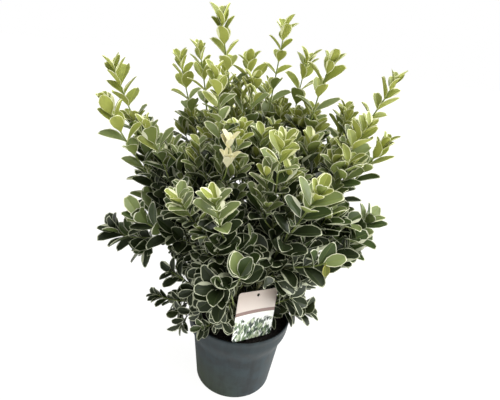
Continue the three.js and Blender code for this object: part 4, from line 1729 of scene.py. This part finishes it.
def printed_card(settings):
    # Printed polystyrene plant card: smooth and slightly glossy, a soft beige ground, a brown band and a
    # crowd of small upright leaf shapes on white below it.
    material, tree, shader = new_material("polystyrene_card_printed", IOR=1.55, Roughness=0.34)
    place = add_node(tree, "ShaderNodeUVMap", uv_map="card_face")
    axes = add_node(tree, "ShaderNodeSeparateXYZ", {"Vector": place})
    u, v = axes.outputs["X"], axes.outputs["Y"]
    middle = add_node(tree, "ShaderNodeMath", {0: u, 1: 2.0, 2: -1.0}, operation="MULTIPLY_ADD")
    square = add_node(tree, "ShaderNodeMath", {0: middle, 1: middle}, operation="MULTIPLY")
    inputs = {0: square, 1: PRINT["band_bow"], 2: PRINT["band"]}
    bow = add_node(tree, "ShaderNodeMath", inputs, operation="MULTIPLY_ADD")
    above = add_node(tree, "ShaderNodeMath", {0: v, 1: bow}, operation="SUBTRACT")
    sheen = pattern(tree, place, 420, detail=1)
    inputs = {"Value": above, "From Min": 0.0, "From Max": 0.35, "To Min": 0.75, "To Max": 0.0}
    rise = add_node(tree, "ShaderNodeMapRange", inputs)
    tones = ((sheen, colour("D6C8BE")), (rise, colour("E2D8D0")))
    ground = layered(tree, (*settings.card_colour, 1.0), *tones)
    white = colour("F1F3EE")
    greens = list(zip((0.2, 0.4, 0.65, 0.9), map(colour, ("26342A", "43583F", "6C8261", "B4BE9F"))))
    rounded = [(0.4, (1, 1, 1, 1)), (0.5, (0, 0, 0, 1))]
    leaves = white
    for turn, size, shift in PRINTED_SPRAYS:
        leaf = (1 / size, 1 / (size * PRINT["slender"]), 1)
        inputs = {"Vector": place, "Rotation": (0, 0, turn), "Location": (shift, 0, 0), "Scale": leaf}
        sprays = add_node(tree, "ShaderNodeMapping", inputs, vector_type="TEXTURE")
        cells = add_node(tree, "ShaderNodeTexVoronoi", {"Vector": sprays, "Scale": 1.0, "Randomness": 0.8})
        chance = add_node(tree, "ShaderNodeSeparateColor", {"Color": cells.outputs["Color"]})
        green = add_node(tree, "ShaderNodeValToRGB", {"Fac": chance.outputs[0]}, greens)
        blade = add_node(tree, "ShaderNodeValToRGB", {"Fac": cells.outputs["Distance"]}, rounded)
        inputs = {0: chance.outputs[1], 1: PRINT["gaps"]}
        kept = add_node(tree, "ShaderNodeMath", inputs, operation="GREATER_THAN")
        shown = add_node(tree, "ShaderNodeMath", {0: blade, 1: kept}, operation="MULTIPLY")
        leaves = layered(tree, leaves, (shown, green))
    inputs = {0: pattern(tree, place, 130, detail=2), 1: PRINT["sprays_ragged"], 2: PRINT["sprays_top"]}
    ragged = add_node(tree, "ShaderNodeMath", inputs, operation="MULTIPLY_ADD")
    spread = add_node(tree, "ShaderNodeMath", {0: ragged, 1: v}, operation="SUBTRACT")
    inputs = {"Value": spread, "From Min": -0.02, "From Max": 0.05, "To Min": 0.0, "To Max": 1.0}
    inside = add_node(tree, "ShaderNodeMapRange", inputs)
    head = add_node(tree, "ShaderNodeMath", {0: above, 1: 0.0}, operation="GREATER_THAN")
    away = add_node(tree, "ShaderNodeMath", {0: above}, operation="ABSOLUTE")
    band = add_node(tree, "ShaderNodeMath", {0: away, 1: PRINT["band_half"]}, operation="LESS_THAN")
    front = add_node(tree, "ShaderNodeMath", {0: u, 1: 0.0}, operation="GREATER_THAN")
    picture = ((inside, leaves), (head, ground), (band, (*settings.band_colour, 1.0)))
    face = layered(tree, white, *picture)
    feed(shader.inputs["Base Color"], layered(tree, colour("E9E6E0"), (front, face)))
    return material


class SHRUB_OT_card(bpy.types.Operator):
    """Makes the picture card with its rounded corners, hole and generic print"""

    bl_idname = "shrub.card"
    bl_label = "Card"

    def execute(self, context):
        outline, hole = card_outline()
        right, up, normal = card_axes()
        shape = bmesh.new()
        loops = []
        for path in (outline, hole):
            verts = [shape.verts.new((x * MM, y * MM, 0)) for x, y in path]
            loops.append([shape.edges.new(ends) for ends in zip(verts, verts[1:] + verts[:1])])
        bmesh.ops.triangle_fill(shape, use_beauty=True, edges=loops[0] + loops[1])
        bmesh.ops.recalc_face_normals(shape, faces=shape.faces)
        if sum(face.normal.z for face in shape.faces) < 0:
            bmesh.ops.reverse_faces(shape, faces=shape.faces)
        lower = bmesh.ops.extrude_face_region(shape, geom=list(shape.faces))
        raised = [item for item in lower["geom"] if isinstance(item, bmesh.types.BMVert)]
        bmesh.ops.translate(shape, verts=raised, vec=(0, 0, CARD["thick"] * MM))
        bmesh.ops.recalc_face_normals(shape, faces=shape.faces)
        layer = shape.loops.layers.uv.new("card_face")
        for face in shape.faces:
            for loop in face.loops:
                x, y, _ = loop.vert.co
                spot = (x / (CARD["width"] * MM), y / (CARD["height"] * MM))
                loop[layer].uv = spot if face.normal.z > 0.5 else (-0.5 - spot[0], spot[1])
        place = Matrix(np.array([right, up, normal]).T).to_4x4()
        place.translation = [c * MM for c in CARD["foot"]]
        bmesh.ops.transform(shape, matrix=place, verts=shape.verts)
        mesh = bpy.data.meshes.new("picture_card")
        shape.to_mesh(mesh)
        shape.free()
        piece = bpy.data.objects.new("picture_card", mesh)
        context.scene.collection.objects.link(piece)
        mesh.materials.append(printed_card(context.scene.pot_settings))
        settle(piece, "card_plastic", "card")
        return {"FINISHED"}


# Stage


def soft_light(name, strength, softness):
    """A broad light that comes from its own direction."""
    direction, tint = LIGHTS[name]
    light = bpy.data.lights.new(name, "SUN")
    light.energy = strength
    light.angle = softness
    light.color = tint
    lamp = bpy.data.objects.new(name, light)
    lamp.rotation_euler = Vector(direction).to_track_quat("Z", "Y").to_euler()
    bpy.context.scene.collection.objects.link(lamp)


class SHRUB_OT_stage(bpy.types.Operator):
    """Sets up the floor, the soft light and the photograph's camera"""

    bl_idname = "shrub.stage"
    bl_label = "Stage"

    def execute(self, context):
        scene = context.scene
        settings = scene.stage_settings
        corners = [(x * FLOOR_REACH, y * FLOOR_REACH, 0) for x, y in ((-1, -1), (1, -1), (1, 1), (-1, 1))]
        floor = new_object("floor", corners, [(0, 1, 2, 3)])
        # Matt white acrylic, too plain to show a grain. The photograph is cut out on white, so for the camera
        # the floor is lit from below and hardly from above.
        white = (*settings.floor_colour, 1.0)
        acrylic, tree, shader = new_material("acrylic_matt", Roughness=0.9, Emission_Color=white)
        looked_at = add_node(tree, "ShaderNodeLightPath").outputs["Is Camera Ray"]
        feed(shader.inputs["Base Color"], layered(tree, white, (looked_at, shade(white, 0.08))))
        self.seen(tree, shader.inputs["Emission Strength"], 0.0, settings.floor_glow)
        floor.data.materials.append(acrylic)
        world = bpy.data.worlds.new("studio")
        world.use_nodes = True
        tree = world.node_tree
        sky = tree.nodes["Background"]
        sky.inputs["Color"].default_value = (1.0, 1.0, 1.0, 1.0)
        self.seen(tree, sky.inputs["Strength"], settings.sky_strength, 1.0)
        scene.world = world
        soft_light("key", settings.key_strength, settings.softness)
        soft_light("side", settings.side_strength, settings.softness)
        scene.view_settings.view_transform = "Standard"
        camera = bpy.data.cameras.new("camera")
        camera.sensor_width = CAMERA["sensor"]
        camera.lens = CAMERA["sensor"] * CAMERA["focal_px"] / CAMERA["width_px"]
        camera.clip_start = 0.02
        viewer = bpy.data.objects.new("camera", camera)
        pitch, roll = math.radians(CAMERA["pitch"]), math.radians(CAMERA["roll"])
        ahead = Vector((0, math.cos(pitch), -math.sin(pitch)))
        side = Vector((1, 0, 0))
        top = side.cross(ahead)
        right = side * math.cos(roll) + top * math.sin(roll)
        upward = top * math.cos(roll) - side * math.sin(roll)
        turn = Matrix((right, upward, -ahead)).transposed().to_4x4()
        viewer.matrix_world = Matrix.Translation(Vector(CAMERA["place"]) * MM) @ turn
        scene.collection.objects.link(viewer)
        scene.camera = viewer
        return {"FINISHED"}

    def seen(self, tree, socket, otherwise, by_camera):
        """Gives a socket one value for the camera's rays and another for all others."""
        looked_at = add_node(tree, "ShaderNodeLightPath").outputs["Is Camera Ray"]
        inputs = {"Value": looked_at, "To Min": otherwise, "To Max": by_camera}
        feed(socket, add_node(tree, "ShaderNodeMapRange", inputs))


class SHRUB_PT_panel(bpy.types.Panel):
    """Lists the pieces of the potted shrub"""

    bl_idname = "SHRUB_PT_panel"
    bl_label = "Potted shrub"
    bl_space_type = "VIEW_3D"
    bl_region_type = "UI"
    bl_category = "Shrub"

    def draw(self, context):
        for operator in OPERATORS:
            self.layout.operator(operator.bl_idname)


OPERATORS = (
    SHRUB_OT_stage,
    SHRUB_OT_pot,
    SHRUB_OT_compost,
    SHRUB_OT_bark,
    SHRUB_OT_twigs,
    SHRUB_OT_leaves,
    SHRUB_OT_card,
)
SETTINGS = {"shrub_settings": ShrubSettings, "pot_settings": PotSettings, "stage_settings": StageSettings}
CLASSES = (*SETTINGS.values(), *OPERATORS, SHRUB_PT_panel)


def register():
    for item in CLASSES:
        bpy.utils.register_class(item)
    for name, group in SETTINGS.items():
        setattr(bpy.types.Scene, name, bpy.props.PointerProperty(type=group))


def unregister():
    for name in SETTINGS:
        delattr(bpy.types.Scene, name)
    for item in reversed(CLASSES):
        bpy.utils.unregister_class(item)


def main():
    register()
    bpy.ops.shrub.stage()
    bpy.ops.shrub.pot()
    bpy.ops.shrub.compost()
    bpy.ops.shrub.bark()
    bpy.ops.shrub.twigs()
    bpy.ops.shrub.leaves()
    bpy.ops.shrub.card()


if __name__ == "__main__":
    main()
